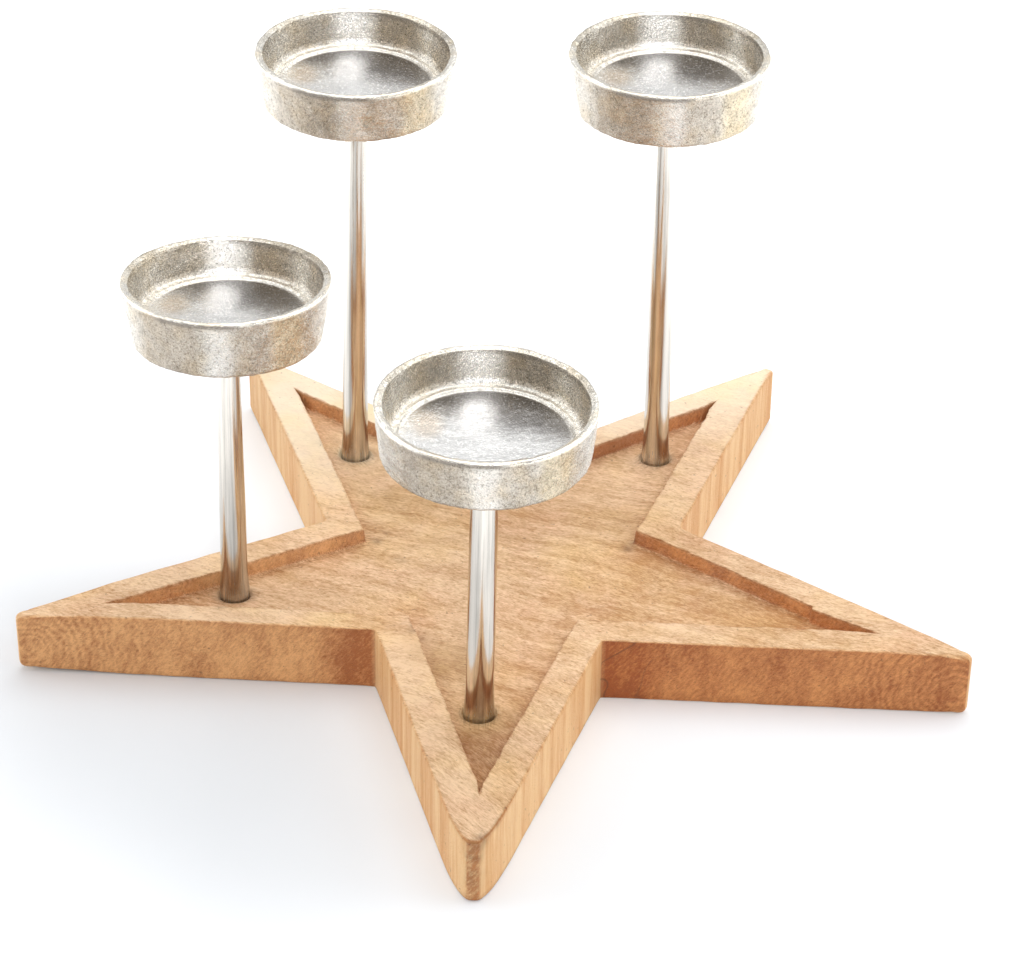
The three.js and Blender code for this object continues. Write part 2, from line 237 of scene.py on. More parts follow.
class Finishes(bpy.types.PropertyGroup):
    """Colours of the wood and the metals."""

    wood_pale: colour("Pale wood", "Early wood on the top faces", 0.92, 0.65, 0.41)
    wood_dark: colour("Dark wood", "Late wood on the top faces", 0.52, 0.27, 0.11)
    blush: colour("Blush", "Tint of the pinkish patches on the top faces", 1.0, 0.94, 0.95)
    honey: colour("Honey", "Tint of the yellow patches on the top faces", 1.0, 0.98, 0.82)
    side_pale: colour("Pale side", "Lightest wood on the sides across the points", 0.95, 0.62, 0.31)
    side_dark: colour("Dark side", "Darkest wood on the sides across the points", 0.76, 0.36, 0.12)
    end_pale: colour("Pale end grain", "Lightest wood on the sawn ends", 0.84, 0.44, 0.18)
    end_dark: colour("Dark end grain", "Darkest wood on the sawn ends", 0.42, 0.15, 0.045)
    ember: colour("Ember", "Tint of the redder wood towards the right and by the notches", 0.90, 0.68, 0.50)
    # Painted sheen: the top pales towards the back.
    back_sheen: colour("Cream", "Paler wood towards the back", 1.0, 0.85, 0.65)
    # Painted shade of the cups on the recess floor.
    patch: colour("Patch", "Tint of the darker patches of the recess floor", 0.64, 0.56, 0.42)
    # Dirt, with painted shade in the crease at the recess walls' foot and along the arrises.
    dirt_and_shade: colour("Dust", "Tint of dirt along walls and edges", 0.58, 0.40, 0.25)
    # Also paints the shadow in a chisel cut at a recess corner.
    scorch_and_shade: colour("Tool mark", "Wood burnt or bruised by the tools", 0.14, 0.055, 0.02)
    aluminium: colour("Aluminium", "Cast aluminium", 0.93, 0.90, 0.835)
    aluminium_dark: colour("Dark aluminium", "Cast aluminium in the sand's grain", 0.42, 0.39, 0.335)
    warmth: colour("Warmth", "Tint of the warmer patches on the cups", 1.0, 0.94, 0.84)
    # Painted darker reflections on the cups' walls.
    dark_reflection: colour("Patina", "Tint of the duller bands on the cups", 0.60, 0.55, 0.50)
    # Painted golden reflection on the cups' outer walls.
    golden_reflection: colour("Gold", "Tint of the yellowish band on the cups", 1.0, 0.93, 0.78)
    # Painted highlights on the cups' walls and floors.
    shine: colour("Shine", "Brightest cast aluminium", 1.0, 0.985, 0.97)
    # Beige patch on the cups' floors; darkened, it paints the shade under the rims.
    tinge: colour("Smudge", "Beige smudge at the left of the cups' floors", 0.74, 0.65, 0.55)
    floor_pale: colour("Pale cup floor", "Cast aluminium on the cups' floors", 0.84, 0.835, 0.825)
    # Painted dark reflection at the back of the cups' floors.
    dark_floor_reflection: colour("Dark cup floor", "Cast aluminium where the floors have darkened", 0.26, 0.25, 0.24)
    nickel: colour("Nickel", "Polished nickel plate", 0.81, 0.76, 0.69)
    zinc: colour("Zinc", "Zinc plated hardware", 0.62, 0.63, 0.64)


class StageLevels(bpy.types.PropertyGroup):
    """Strengths of the light and the tone of the floor."""

    sky: number("Sky", "Strength of the even light from the back and the sides", 0.62)
    front: number("Front", "Share of that light that comes from the camera's side", 0.55, 1.0)
    gloss: number("Gloss", "Strength of that light where polished metal reflects it", 0.8)
    key: number("Key", "Radiance of the large soft lamp overhead", 2.0)
    fill: number("Fill", "Radiance of the lamps at both sides", 2.0)
    face: number("Face", "Radiance of the small lamp beside the camera", 11.0, 50.0)
    floor: colour("Floor", "Cool white of the floor", 0.77, 0.795, 0.825)
    side_lift: number("Side lift", "Glow of the floor behind the star and at its right", 0.15)
    far_lift: number("Far lift", "Further glow of the floor where the lamps don't reach", 0.7)


class StarHolder(bpy.types.PropertyGroup):
    """Everything that a user would change on the holder."""

    star: bpy.props.PointerProperty(type=StarSizes)
    cups: bpy.props.PointerProperty(type=CupSizes)
    stems: bpy.props.PointerProperty(type=StemSizes)
    finishes: bpy.props.PointerProperty(type=Finishes)
    stage: bpy.props.PointerProperty(type=StageLevels)


def unit(vectors):
    """The same vectors, one unit long."""
    return vectors / np.linalg.norm(vectors, axis=-1, keepdims=True)


def left_of(vectors):
    """Vectors in plan, turned a quarter to the left."""
    return np.stack([-vectors[..., 1], vectors[..., 0]], axis=-1)


def bell(distance, width):
    """Bell curve that is 1 at no distance and 1/e at its width: exp(-(distance / width)^2)."""
    return np.exp(-((distance / width) ** 2))


def waves(points, wavelength, seed, count=14):
    """Smooth noise of about -1 to 1: a sum of sine waves, each with its own direction, length and phase."""
    random = np.random.default_rng(seed)
    directions = unit(random.normal(size=(count, 3)))
    lengths = wavelength * random.uniform(0.7, 1.5, count)
    phases = random.uniform(0, 2 * np.pi, count)
    total = np.zeros(points.shape[:-1])
    for direction, wave, phase in zip(directions, lengths, phases):
        total += np.sin(points @ direction * (2 * np.pi / wave) + phase)
    return np.clip(total / math.sqrt(2 * count), -1, 1)


def ease(value, start, end):
    """Goes smoothly from 0 at start to 1 at end: 3t^2 - 2t^3 of the clipped fraction t."""
    fraction = np.clip((value - start) / (end - start), 0, 1)
    return fraction * fraction * (3 - 2 * fraction)


def grid_normals(points):
    """Unit normals of a grid whose columns close on themselves: the cross product of its two slopes.

    They point out of the solid, because every profile here runs from the axis out over the underside, up
    the outside and back in over the top, while the columns run anticlockwise.
    """
    round_it = np.roll(points, -1, axis=1) - np.roll(points, 1, axis=1)
    along_it = np.gradient(points, axis=0)
    normals = np.cross(round_it, along_it)
    size = np.linalg.norm(normals, axis=-1, keepdims=True)
    return normals / np.maximum(size, 1e-12)


def grid_faces(rows, columns, ring):
    """Quads between neighbouring rows. Columns close on themselves, and with ring the rows do too."""
    index = np.arange(rows * columns).reshape(rows, columns)
    low = index if ring else index[:-1]
    high = np.roll(index, -1, axis=0) if ring else index[1:]
    return np.stack([low, np.roll(low, -1, axis=1), np.roll(high, -1, axis=1), high], axis=-1).reshape(-1, 4)


def fan_faces(row, pole):
    """Triangles from one row's neighbouring vertices to a pole."""
    return np.stack([np.roll(row, -1), row, np.full_like(row, pole)], axis=-1)


def piece_from_grid(name, points, layers=None, ring=False):
    """A closed mesh piece from a grid of points.

    The columns close on themselves. With ring the rows do too, and otherwise the first and the last row
    shrink to poles, whose triangles fan out to the next row. Faces point outwards: if the volume under
    them, a sixth of the sum of their corners' triple products, is negative, they are all turned round.
    """
    rows, columns = points.shape[:2]
    if ring:
        vertices = points.reshape(-1, 3)
        quads = grid_faces(rows, columns, True)
        fans = np.empty((0, 3), int)
    else:
        body = points[1:-1].reshape(-1, 3)
        first, last = points[0].mean(axis=0), points[-1].mean(axis=0)
        vertices = np.concatenate([body, [first, last]])
        quads = grid_faces(rows - 2, columns, False)
        low_row = np.arange(columns)
        high_row = low_row + (rows - 3) * columns
        fans = np.concatenate([fan_faces(low_row, len(body)), fan_faces(high_row, len(body) + 1)[:, ::-1]])
    triangles = np.concatenate([quads[:, [0, 1, 2]], quads[:, [0, 2, 3]], fans])
    a, b, c = (vertices[triangles[:, corner]] for corner in range(3))
    if np.einsum("ij,ij->", a, np.cross(b, c)) < 0:
        quads, fans = quads[:, ::-1], fans[:, ::-1]
    mesh = bpy.data.meshes.new(name)
    mesh.from_pydata(vertices.tolist(), [], quads.tolist() + fans.tolist())
    mesh.shade_smooth()
    for layer, values in (layers or {}).items():
        kind, field = ("FLOAT_VECTOR", "vector") if values.ndim == 3 else ("FLOAT", "value")
        if not ring:
            middle = values[1:-1].reshape(-1, *values.shape[2:])
            values = np.concatenate([middle, values[:1].mean(axis=1), values[-1:].mean(axis=1)])
        mesh.attributes.new(layer, kind, "POINT").data.foreach_set(field, values.astype(np.float32).ravel())
    piece = bpy.data.objects.new(name, mesh)
    bpy.context.scene.collection.objects.link(piece)
    return piece


def apply_modifiers(piece):
    """Keeps the mesh that the piece's modifiers make, and drops the modifiers."""
    depsgraph = bpy.context.evaluated_depsgraph_get()
    mesh = bpy.data.meshes.new_from_object(piece.evaluated_get(depsgraph), depsgraph=depsgraph)
    piece.modifiers.clear()
    piece.data = mesh


def turn_angles(columns):
    """Even angles round a full turn."""
    return np.arange(columns) * (2 * np.pi / columns)


def around(radius, angle, height):
    """Places round Z: a point at angle t lies at (r cos t, r sin t, h)."""
    return np.stack(np.broadcast_arrays(radius * np.cos(angle), radius * np.sin(angle), height), axis=-1)


def turned(profile, columns):
    """Turns rows of (radius, height) about Z."""
    return around(profile[:, :1], turn_angles(columns), profile[:, 1:])


def arc(radius, height, size, start, end, steps=8):
    """Part of a circle in a profile, between two headings in degrees, as (radius, height) rows."""
    angle = np.radians(np.linspace(start, end, steps + 1))
    return np.stack([radius + size * np.cos(angle), height + size * np.sin(angle)], axis=-1)


def refined(profile, spacing):
    """Adds even steps to each straight run of a profile, so that no step is longer than spacing."""
    runs = []
    for start, end in zip(profile[:-1], profile[1:]):
        steps = max(1, math.ceil(np.linalg.norm(end - start) / spacing))
        runs.append(start + (end - start) * (np.arange(steps) / steps)[:, None])
    return np.concatenate([*runs, profile[-1:]])


def holder_place(holder, points):
    """Moves points from a holder's own frame to the star's: turns them by its lean, then to its foot."""
    about_x, about_y = -math.radians(holder.lean[1]), math.radians(holder.lean[0])
    turn = np.array(Matrix.Rotation(about_x, 3, "X") @ Matrix.Rotation(about_y, 3, "Y"))
    foot = np.array([*holder.foot, 0]) * MM
    foot[2] = SLAB_THICKNESS - bpy.context.scene.star_holder.star.recess
    return points @ turn.T + foot


def cup_level(holder):
    """Height of a cup's underside above the recess floor, along its stem."""
    return (holder.rim - holder.cup_height) * MM


class Value:
    """A shader socket that takes part in sums: each operator adds a Math node."""

    def __init__(self, graph, socket):
        self.graph = graph
        self.socket = socket

    def __add__(self, other):
        return self.graph.math("ADD", self, other)

    def __sub__(self, other):
        return self.graph.math("SUBTRACT", self, other)

    def __mul__(self, other):
        return self.graph.math("MULTIPLY", self, other)

    def __truediv__(self, other):
        return self.graph.math("DIVIDE", self, other)

    def __rsub__(self, other):
        return self.graph.math("SUBTRACT", other, self)

    def __rtruediv__(self, other):
        return self.graph.math("DIVIDE", other, self)

    def __abs__(self):
        return self.graph.math("ABSOLUTE", self)

    __radd__ = __add__
    __rmul__ = __mul__


class Graph:
    """A material's node tree, built from values."""

    def __init__(self, tree):
        self.tree = tree
        tree.nodes.clear()

    def node(self, kind, settings=None, inputs=None, output=0):
        """Adds a node of one type. Its settings are set first, and then its sockets get values or links."""
        made = self.tree.nodes.new("ShaderNode" + kind)
        for name, setting in (settings or {}).items():
            setattr(made, name, setting)
        for name, value in (inputs or {}).items():
            if isinstance(value, Value):
                self.tree.links.new(value.socket, made.inputs[name])
            else:
                made.inputs[name].default_value = value
        return Value(self, made.outputs[output])

    def math(self, operation, a, b=0.0):
        """One Math node on numbers."""
        return self.node("Math", {"operation": operation}, {0: a, 1: b})

    def reach(self, x, y):
        """Distance of (x, y) from the middle."""
        return self.math("SQRT", x * x + y * y)

    def length(self, vector):
        """Length of a vector."""
        return self.node("VectorMath", {"operation": "LENGTH"}, {0: vector}, 1)

    def in_millimetres(self, vector):
        """A place given in metres, in millimetres."""
        return self.node("VectorMath", {"operation": "SCALE"}, {0: vector, "Scale": 1 / MM})

    def join(self, x, y, z):
        """A vector made of three numbers."""
        return self.node("CombineXYZ", {}, {0: x, 1: y, 2: z})

    def split(self, vector):
        """The three numbers of a vector."""
        return [self.node("SeparateXYZ", {}, {0: vector}, axis) for axis in range(3)]

    def clamp(self, value, low=0.0, high=1.0):
        """Keeps a number between low and high."""
        return self.node("Clamp", {}, {0: value, 1: low, 2: high})

    def ease(self, value, low, high):
        """From 0 at low to 1 at high, with soft ends."""
        settings = {"interpolation_type": "SMOOTHSTEP"}
        return self.node("MapRange", settings, {0: value, 1: low, 2: high, 3: 0.0, 4: 1.0})

    def noise(self, vector, scale=1.0, detail=2.0, roughness=0.5):
        """Noise of 0 to 1 about a middle of 0.5, with scale waves to one unit of the vector."""
        inputs = {"Vector": vector, "Scale": scale, "Detail": detail, "Roughness": roughness}
        return self.node("TexNoise", {}, inputs)

    def layers(self, names):
        """Numbers that the mesh carries, by their names."""
        return [self.node("Attribute", {"attribute_name": name}, {}, 2) for name in names.split()]

    def own_place(self):
        """Place in the piece's own frame, which the mesh carries, in millimetres."""
        return self.in_millimetres(self.node("Attribute", {"attribute_name": "own_place"}, {}, 1))

    def blend(self, factor, a, b, mode="MIX"):
        """Mixes two colours."""
        a, b = ((*shade, 1) if not isinstance(shade, Value) else shade for shade in (a, b))
        settings = {"data_type": "RGBA", "blend_type": mode, "clamp_factor": True}
        return self.node("Mix", settings, {0: factor, 6: a, 7: b}, 2)

    def tinted(self, shade, tint, amount):
        """Multiplies a colour by a tint, as far as amount says."""
        return self.blend(amount, shade, self.blend(1.0, shade, tint, "MULTIPLY"))

    def bump(self, height, distance, strength=1.0):
        """A normal that follows a relief."""
        return self.node("Bump", {}, {"Height": height, "Distance": distance, "Strength": strength})

    def finish(self, shade, roughness, normal, metallic=1.0):
        """Ends the material in one Principled BSDF."""
        inputs = {"Base Color": shade, "Roughness": roughness, "Normal": normal, "Metallic": metallic}
        self.show(self.node("BsdfPrincipled", {}, inputs))

    def show(self, surface, output="OutputMaterial"):
        """Links a shader to the tree's output."""
        made = self.tree.nodes.new("ShaderNode" + output)
        self.tree.links.new(surface.socket, made.inputs["Surface"])


def darker(shade, share):
    """A colour with a share of its light."""
    return tuple(share * part for part in shade)


def new_graph(name):
    """A new material and its empty graph."""
    material = bpy.data.materials.new(name)
    material.use_nodes = True
    return material, Graph(material.node_tree)


def mango_wood(finishes):
    """Honey coloured wood: flecks along the fibres on the top, sawn ends on the sides, tool marks, painted
    shade and a painted sheen.
    """
    material, graph = new_graph("mango_wood_finish")
    place = graph.in_millimetres(graph.node("TexCoord", {}, {}, 3))
    x, y, z = graph.split(place)
    side, cut_end, recess, edge, stain, patch, foot, wall = graph.layers(
        "side cut_end recess edge stain patch foot wall"
    )

    # The fibres run from the back left to the front right, and steeper in the front point.
    drift = graph.noise(place, 0.02) - 0.5
    bend = graph.ease(y, -35.0, -105.0)
    across = x * FIBRE_SINE + y * FIBRE_COSINE + x * bend * 0.62 + drift * 12.0
    along = x * FIBRE_COSINE - y * FIBRE_SINE
    flecks = graph.noise(graph.join(along * 0.3, across, z), 1.3, 4.0, 0.75)
    fine = graph.noise(graph.join(along * 0.22, across, z), 4.2, 2.0, 0.7)
    streak = graph.noise(graph.join(along * 0.05, across, z), 0.35, 3.0, 0.55)
    patches = graph.noise(place, 0.05, 3.0, 0.6)
    pores = graph.ease(graph.noise(graph.join(along * 0.35, across * 1.3, z * 1.3), 2.2, 1.0), 0.60, 0.70)

    figure = (flecks - 0.5) * 1.9 + (fine - 0.5) * 1.6 + (streak - 0.5) * 1.1 + (patches - 0.5) * 1.3
    rough_floor = graph.ease(graph.length(place), 56.0, 86.0) * recess
    by_right = graph.ease(x, 0.0, 40.0) * graph.ease(y, 30.0, 0.0)
    shade = figure + pores * 0.3 + recess * 0.2 + by_right * 0.16 + 0.24
    shade = shade + rough_floor * (0.25 + (flecks - 0.5) * 1.6)
    top = graph.blend(graph.clamp(shade), finishes.wood_pale, finishes.wood_dark)
    # Painted sheen: the top pales towards the back.
    top = graph.blend(graph.ease(y - x * 0.3, 25.0, 70.0) * (0.75 - recess * 0.5), top, finishes.back_sheen)
    blush = graph.clamp((graph.noise(place, 0.07, 3.0, 0.6) - 0.45) * 3.0)
    honey = graph.clamp((graph.noise(graph.join(y, x, z), 0.045, 3.0, 0.6) - 0.45) * 4.0)
    top = graph.tinted(top, finishes.blush, blush)
    top = graph.tinted(top, finishes.honey, honey)
    top = graph.tinted(top, finishes.ember, rough_floor * 0.35)

    # Sides across the fibres show them upright.
    upright = graph.noise(graph.join(x, y, z * 0.07), 1.3, 4.0, 0.65)
    upright_broad = graph.noise(graph.join(x, y, z * 0.05), 0.22)
    side_grain = (upright - 0.5) * 1.8 + (upright_broad - 0.5) * 2.6 + (fine - 0.5) * 0.8 + 0.36
    sides = graph.blend(graph.clamp(side_grain), finishes.side_pale, finishes.side_dark)

    # Sides along them show slanting fibre ends, cracks by the notch, and growth rings at the side points.
    sideways = abs(x)
    ring_reach = graph.reach(sideways - RING_HEART[0], z - RING_HEART[1])
    ring_reach = ring_reach + (graph.noise(place, 0.2) - 0.5) * 5.0
    rings = graph.math("SINE", ring_reach * 3.4) * graph.ease(sideways, 66.0, 90.0)
    slant = graph.noise(graph.join(x * 0.8 - z * 0.6, (z * 0.8 + x * 0.6) * 0.3, y), 1.8, 4.0, 0.75)
    blotch = graph.noise(graph.join(x, y, z * 0.5), 0.16, 3.0, 0.6)
    by_notch = graph.ease(sideways, 41.0, 29.0)
    worn = graph.ease(y, -93.0, -101.0)  # the front point's end
    end_grain = (slant - 0.5) * 2.2 + (fine - 0.5) * 0.8 + (blotch - 0.5) * 1.6 + rings * 0.16 + 0.34
    end_grain = end_grain + by_notch * 0.6 + graph.ease(x, 0.0, 60.0) * 0.18 - worn * 0.3
    ends = graph.blend(graph.clamp(end_grain), finishes.end_pale, finishes.end_dark)
    ends = graph.tinted(ends, finishes.ember, graph.ease(x, -30.0, 40.0) * 0.75 + by_notch * 0.4)
    crack = graph.noise(graph.join(x * 0.8 + z * 0.6, (z * 0.8 - x * 0.6) * 1.6, y), 0.09, 0.0)
    crack = graph.ease(abs(crack - 0.5), 0.022, 0.004) * side * cut_end * by_notch
    crack = crack * graph.math("GREATER_THAN", x, 0.0)
    patchy = cut_end * (1.0 - worn * graph.clamp(0.35 + (slant - 0.5) * 4.0))
    tone = graph.blend(side, top, graph.blend(patchy, sides, ends))
    tone = graph.blend(wall * 0.75, tone, ends)

    # Painted shade in the crease at the foot of the recess walls and along the arrises, with dirt there and
    # on the front end's edges.
    dirty_and_shaded = graph.clamp(foot * (0.45 + (fine - 0.5) * 2.4) + edge * (0.4 + (flecks - 0.5) * 2.4 + pores * 0.3))
    soiled = graph.ease(y, -84.0, -100.0) * graph.ease(x, -6.0, 0.0) * edge * (0.9 + (slant - 0.5) * 3.0)
    tone = graph.tinted(tone, finishes.dirt_and_shade, graph.clamp(dirty_and_shaded + soiled))
    # Painted shade of the cups on the recess floor.
    tone = graph.tinted(tone, finishes.patch, graph.clamp(patch))
    specks = graph.ease(graph.noise(place, 0.9), 0.69, 0.76) * 0.5
    # Tool marks, knots, cracks and stains, with a painted shadow in a chisel cut past a recess corner.
    tone = graph.blend(graph.clamp(stain + specks + crack * 0.6), tone, finishes.scorch_and_shade)

    hatch = graph.noise(graph.join((x + y) * 0.25, (x - y) * 1.6, z), 1.3)
    relief = flecks * 0.8 + fine * 0.6 - pores * 0.6 + hatch * 0.4 * (1.0 - recess)
    relief = relief + side * (slant + upright) * 0.5
    roughness = graph.clamp(0.52 + (flecks - 0.5) * 0.3 + recess * 0.06 + side * 0.06 + stain * 0.1)
    graph.finish(tone, roughness, graph.bump(relief, 0.2 * MM, 0.9), 0.0)
    return material


def cast_aluminium(finishes):
    """Sand cast metal: grainy and pitted, with a buffed rim and a smoother floor, and painted reflections:
    the floor darkens at the back round a painted highlight, and the walls carry darker bands and highlights.
    """
    material, graph = new_graph("cast_aluminium_finish")
    place = graph.own_place()
    x, y, _ = graph.split(place)
    smooth, rim, ledge, collar, inside = graph.layers("smooth rim ledge collar inside")
    grain = graph.noise(place, 2.0, 3.0, 0.75)
    speckle = graph.noise(place, 4.2, 2.0, 0.6)
    pits = graph.ease(graph.noise(place, 1.5, 2.0, 0.6), 0.58, 0.68)
    lumps = graph.noise(place, 0.3, 3.0, 0.6)

    skin = (grain - 0.5) * 1.8 + (speckle - 0.5) * 2.2 + (lumps - 0.5) * 1.2 - pits * 0.25 + 0.66
    # The rim is lighter at the front and darker at the back: a painted highlight and painted shade.
    skin = skin + rim * (0.35 - graph.ease(y, -4.0, 10.0) * 0.75)
    tone = graph.blend(graph.clamp(skin), finishes.aluminium_dark, finishes.aluminium)
    warm = graph.clamp((graph.noise(place, 0.18) - 0.45) * 4.0)
    tone = graph.tinted(tone, finishes.warmth, warm)

    def stripe(middle, half_width, soft):
        """An upright band with soft sides, by its middle from left to right."""
        return graph.ease(abs(x - middle), half_width + soft, half_width)

    # Painted reflections: the inside is darker at both sides of a painted highlight band, and the outside
    # darker at the left, with a golden band at its right.
    radius = graph.reach(x, y)
    back_wall = inside * graph.ease(y, 0.0, 5.0) * (1.0 - smooth) * (1.0 - ledge)
    front_wall = (1.0 - inside) * graph.ease(y, -4.0, -10.0) * graph.ease(radius, 19.5, 20.8)
    back, front = back_wall * (1.0 - rim * 0.7), front_wall * (1.0 - rim)
    dark_reflection = back * (stripe(8.0, 3.0, 5.0) + stripe(-11.0, 2.5, 5.0) * 0.6 + stripe(19.0, 1.5, 2.5) * 0.6)
    dark_reflection = dark_reflection + front * (stripe(-10.0, 3.0, 6.0) * 0.8 + stripe(7.5, 2.0, 4.0) * 0.3 + 0.5)
    tone = graph.tinted(tone, finishes.dark_reflection, graph.clamp(dark_reflection + (lumps - 0.5) * 0.8 * back))
    tone = graph.tinted(tone, finishes.golden_reflection, front * stripe(15.0, 1.5, 3.0))
    bright = back * stripe(-2.5, 1.0, 6.0) + front * stripe(1.0, 1.0, 3.0) * 0.3
    tone = graph.blend(bright, tone, finishes.shine)
    tone = graph.blend(ledge * 0.7, tone, finishes.aluminium)
    # Painted shade under the rim: a dark line inside at the back and outside at the front.
    ringed = back_wall * graph.ease(x, -8.0, 4.0) * 0.7 + front_wall * stripe(-4.0, 7.0, 4.0)
    rim_shade = graph.clamp(collar * ringed * (0.9 + (speckle - 0.5) * 2.5))
    tone = graph.blend(rim_shade, tone, darker(finishes.tinge, 0.34))

    def spot(middle_x, middle_y, half_width, half_depth):
        """A soft oval on the floor."""
        return graph.ease(graph.reach((x - middle_x) / half_width, (y - middle_y) / half_depth), 1.0, 0.25)

    # The floor darkens towards the back in a painted reflection, round a painted highlight, and has a beige
    # patch at its left.
    crescent = graph.ease(x * 0.3 + y * 0.95, -1.0, 11.0)
    floor_shade = graph.clamp(crescent * 1.1 + (lumps - 0.5) * 0.8 + (speckle - 0.5) * 0.8)
    ground = graph.blend(floor_shade, finishes.floor_pale, finishes.dark_floor_reflection)
    ground = graph.blend(spot(-12.0, 3.5, 4.5, 7.0) * 0.7, ground, finishes.tinge)
    tone = graph.blend(smooth, tone, graph.blend(spot(-2.4, 7.5, 6.0, 10.0) * 0.7, ground, finishes.shine))

    rough = 1.0 - graph.clamp(smooth * 0.8 + rim * 0.5 + ledge * 0.3)
    turning = graph.math("SINE", radius * 11.0 + lumps * 9.0) * smooth * 0.02
    relief = (grain + speckle * 0.5 - pits * 0.6 + lumps * 1.2) * rough + turning
    roughness = 0.24 + (grain - 0.5) * 0.3 + pits * 0.15 - rim * 0.04 - smooth * 0.02
    graph.finish(tone, graph.clamp(roughness, 0.12, 0.8), graph.bump(relief, 0.16 * MM))
    return material


def polished_nickel(finishes):
    """Bright plate over drawn rod, with marks and duller bands along it, darker and rougher towards the wood.
    """
    material, graph = new_graph("polished_nickel_finish")
    place = graph.own_place()
    x, y, z = graph.split(place)
    marks = graph.noise(graph.join(x, y, z * 0.02), 3.2, 3.0, 0.6)
    bands = graph.noise(graph.join(x, y, z * 0.004), 0.75, 2.0, 0.6)
    clouds = graph.noise(graph.join(x, y, z * 0.25), 0.4)
    bead, = graph.layers("bead")
    sand = graph.noise(place, 3.0, 2.0, 0.6)
    near_wood = graph.ease(z, 16.0, 0.0)
    dullness = near_wood * 0.5 + (clouds - 0.5) * 0.5 + (bands - 0.5) * 3.0 + (marks - 0.5) * 1.2 + 0.3
    tone = graph.blend(graph.clamp(dullness), finishes.nickel, darker(finishes.nickel, 0.5))
    roughness = graph.clamp(0.13 + (marks - 0.4) * 0.22 + bead * 0.25 + near_wood * 0.1, 0.06, 0.8)
    graph.finish(tone, roughness, graph.bump(marks * 0.35 + sand * bead * 1.2, 0.1 * MM, 0.5))
    return material


def zinc_steel(finishes):
    """Zinc plated steel: slightly blotchy, with fine turning marks."""
    material, graph = new_graph("zinc_steel_finish")
    place = graph.own_place()
    blotches = graph.noise(place, 0.9, 3.0, 0.6)
    fine = graph.noise(place, 7.0)
    tone = graph.blend(graph.clamp((blotches - 0.3) * 1.6), darker(finishes.zinc, 0.7), finishes.zinc)
    roughness = graph.clamp(0.3 + (blotches - 0.5) * 0.3 + (fine - 0.5) * 0.1)
    graph.finish(tone, roughness, graph.bump(fine, 0.04 * MM, 0.4))
    return material


FINISHES = {
    "mango_wood": mango_wood,
    "cast_aluminium": cast_aluminium,
    "polished_nickel": polished_nickel,
    "zinc_steel": zinc_steel,
}


def take_finish(piece, slot_name):
    """Gives a piece the one material of its slot, which is made when it is first asked for."""
    material = bpy.data.materials.get(f"{slot_name}_finish")
    if material is None:
        material = FINISHES[slot_name](bpy.context.scene.star_holder.finishes)
    piece.data.materials.clear()
    piece.data.materials.append(material)


def settle(piece, node, slot_name):
    """The piece stands for its CAD node, rides on the body and takes the slot's finish."""
    take_finish(piece, slot_name)
    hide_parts(node)
    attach(piece, "root")


def star_corners(sizes):
    """Corners where the straight sides meet: point, notch, point, notch and so on, anticlockwise."""
    turn = FRONT + np.arange(POINTS) * FIFTH
    points = around(sizes.reach + POINT_SHIFT, turn + POINT_TURN, 0)
    notches = around(sizes.notch_reach + NOTCH_SHIFT, turn + FIFTH / 2 + NOTCH_TURN, 0)
    return np.stack([points, notches], axis=1).reshape(-1, 3)[:, :2]


def recess_corners(corners, sizes):
    """Corners of the recess: each side moved inwards by its border's width and met with its neighbours."""
    along = unit(np.roll(corners, -1, axis=0) - corners)
    inward = left_of(along)
    start = corners + inward * (sizes.border + BORDER_SHIFT)[:, None]
    before, start_before = np.roll(along, 1, axis=0), np.roll(start, 1, axis=0)
    reach = ((start - start_before) * inward).sum(axis=1) / (before * inward).sum(axis=1)
    return start_before + before * reach[:, None]


def along_path(path, fractions):
    """Places at fractions of the length of a path of straight runs."""
    path = np.array(path)
    steps = np.linalg.norm(np.diff(path, axis=0), axis=1)
    distance = np.concatenate([[0], np.cumsum(steps)]) / steps.sum()
    return np.stack([np.interp(fractions, distance, path[:, axis]) for axis in range(2)], axis=-1)


def two_sides(ends, paths):
    """Columns of a closed outline, from paths that run from each point's end to its two notches.

    They lie at even steps to a power, so that they crowd at the points' ends.
    """
    even = np.arange(SIDE_COLUMNS) / SIDE_COLUMNS
    columns = []
    for index in range(POINTS):
        after = (index + 1) % POINTS
        columns.append(along_path([ends[index], *paths[index][1]], even**COLUMN_CROWDING))
        columns.append(along_path([*paths[after][0][::-1], ends[after]], 1 - (1 - even) ** COLUMN_CROWDING))
    return np.concatenate(columns)


def slab_outline(corners, sizes):
    """Outer outline: each point's sides run straight to a shoulder, then bend in to its blunt end.

    The bend is a quadratic curve, (1-t)^2 edge + 2t(1-t) handle + t^2 shoulder, with its handle on the side.
    """
    ends, paths = [], []
    t = np.linspace(0, 1, 9)[:, None]
    for index in range(POINTS):
        tip = corners[2 * index]
        reach = np.linalg.norm(tip)
        axis = tip / reach
        end = axis * (reach - POINT_CUT[index])
        both = []
        for hand in (-1, 1):
            notch = corners[2 * index + hand]
            edge = end + left_of(axis) * hand * sizes.point_flat / 2
            side = (notch - tip) / (reach - notch @ axis)
            handle = tip + side * (POINT_CUT[index] + sizes.point_taper * TAPER_HANDLE)
            shoulder = tip + side * (POINT_CUT[index] + sizes.point_taper)
            both.append([*((1 - t) ** 2 * edge + 2 * t * (1 - t) * handle + t * t * shoulder), notch])
        ends.append(end)
        paths.append(both)
    return two_sides(ends, paths)


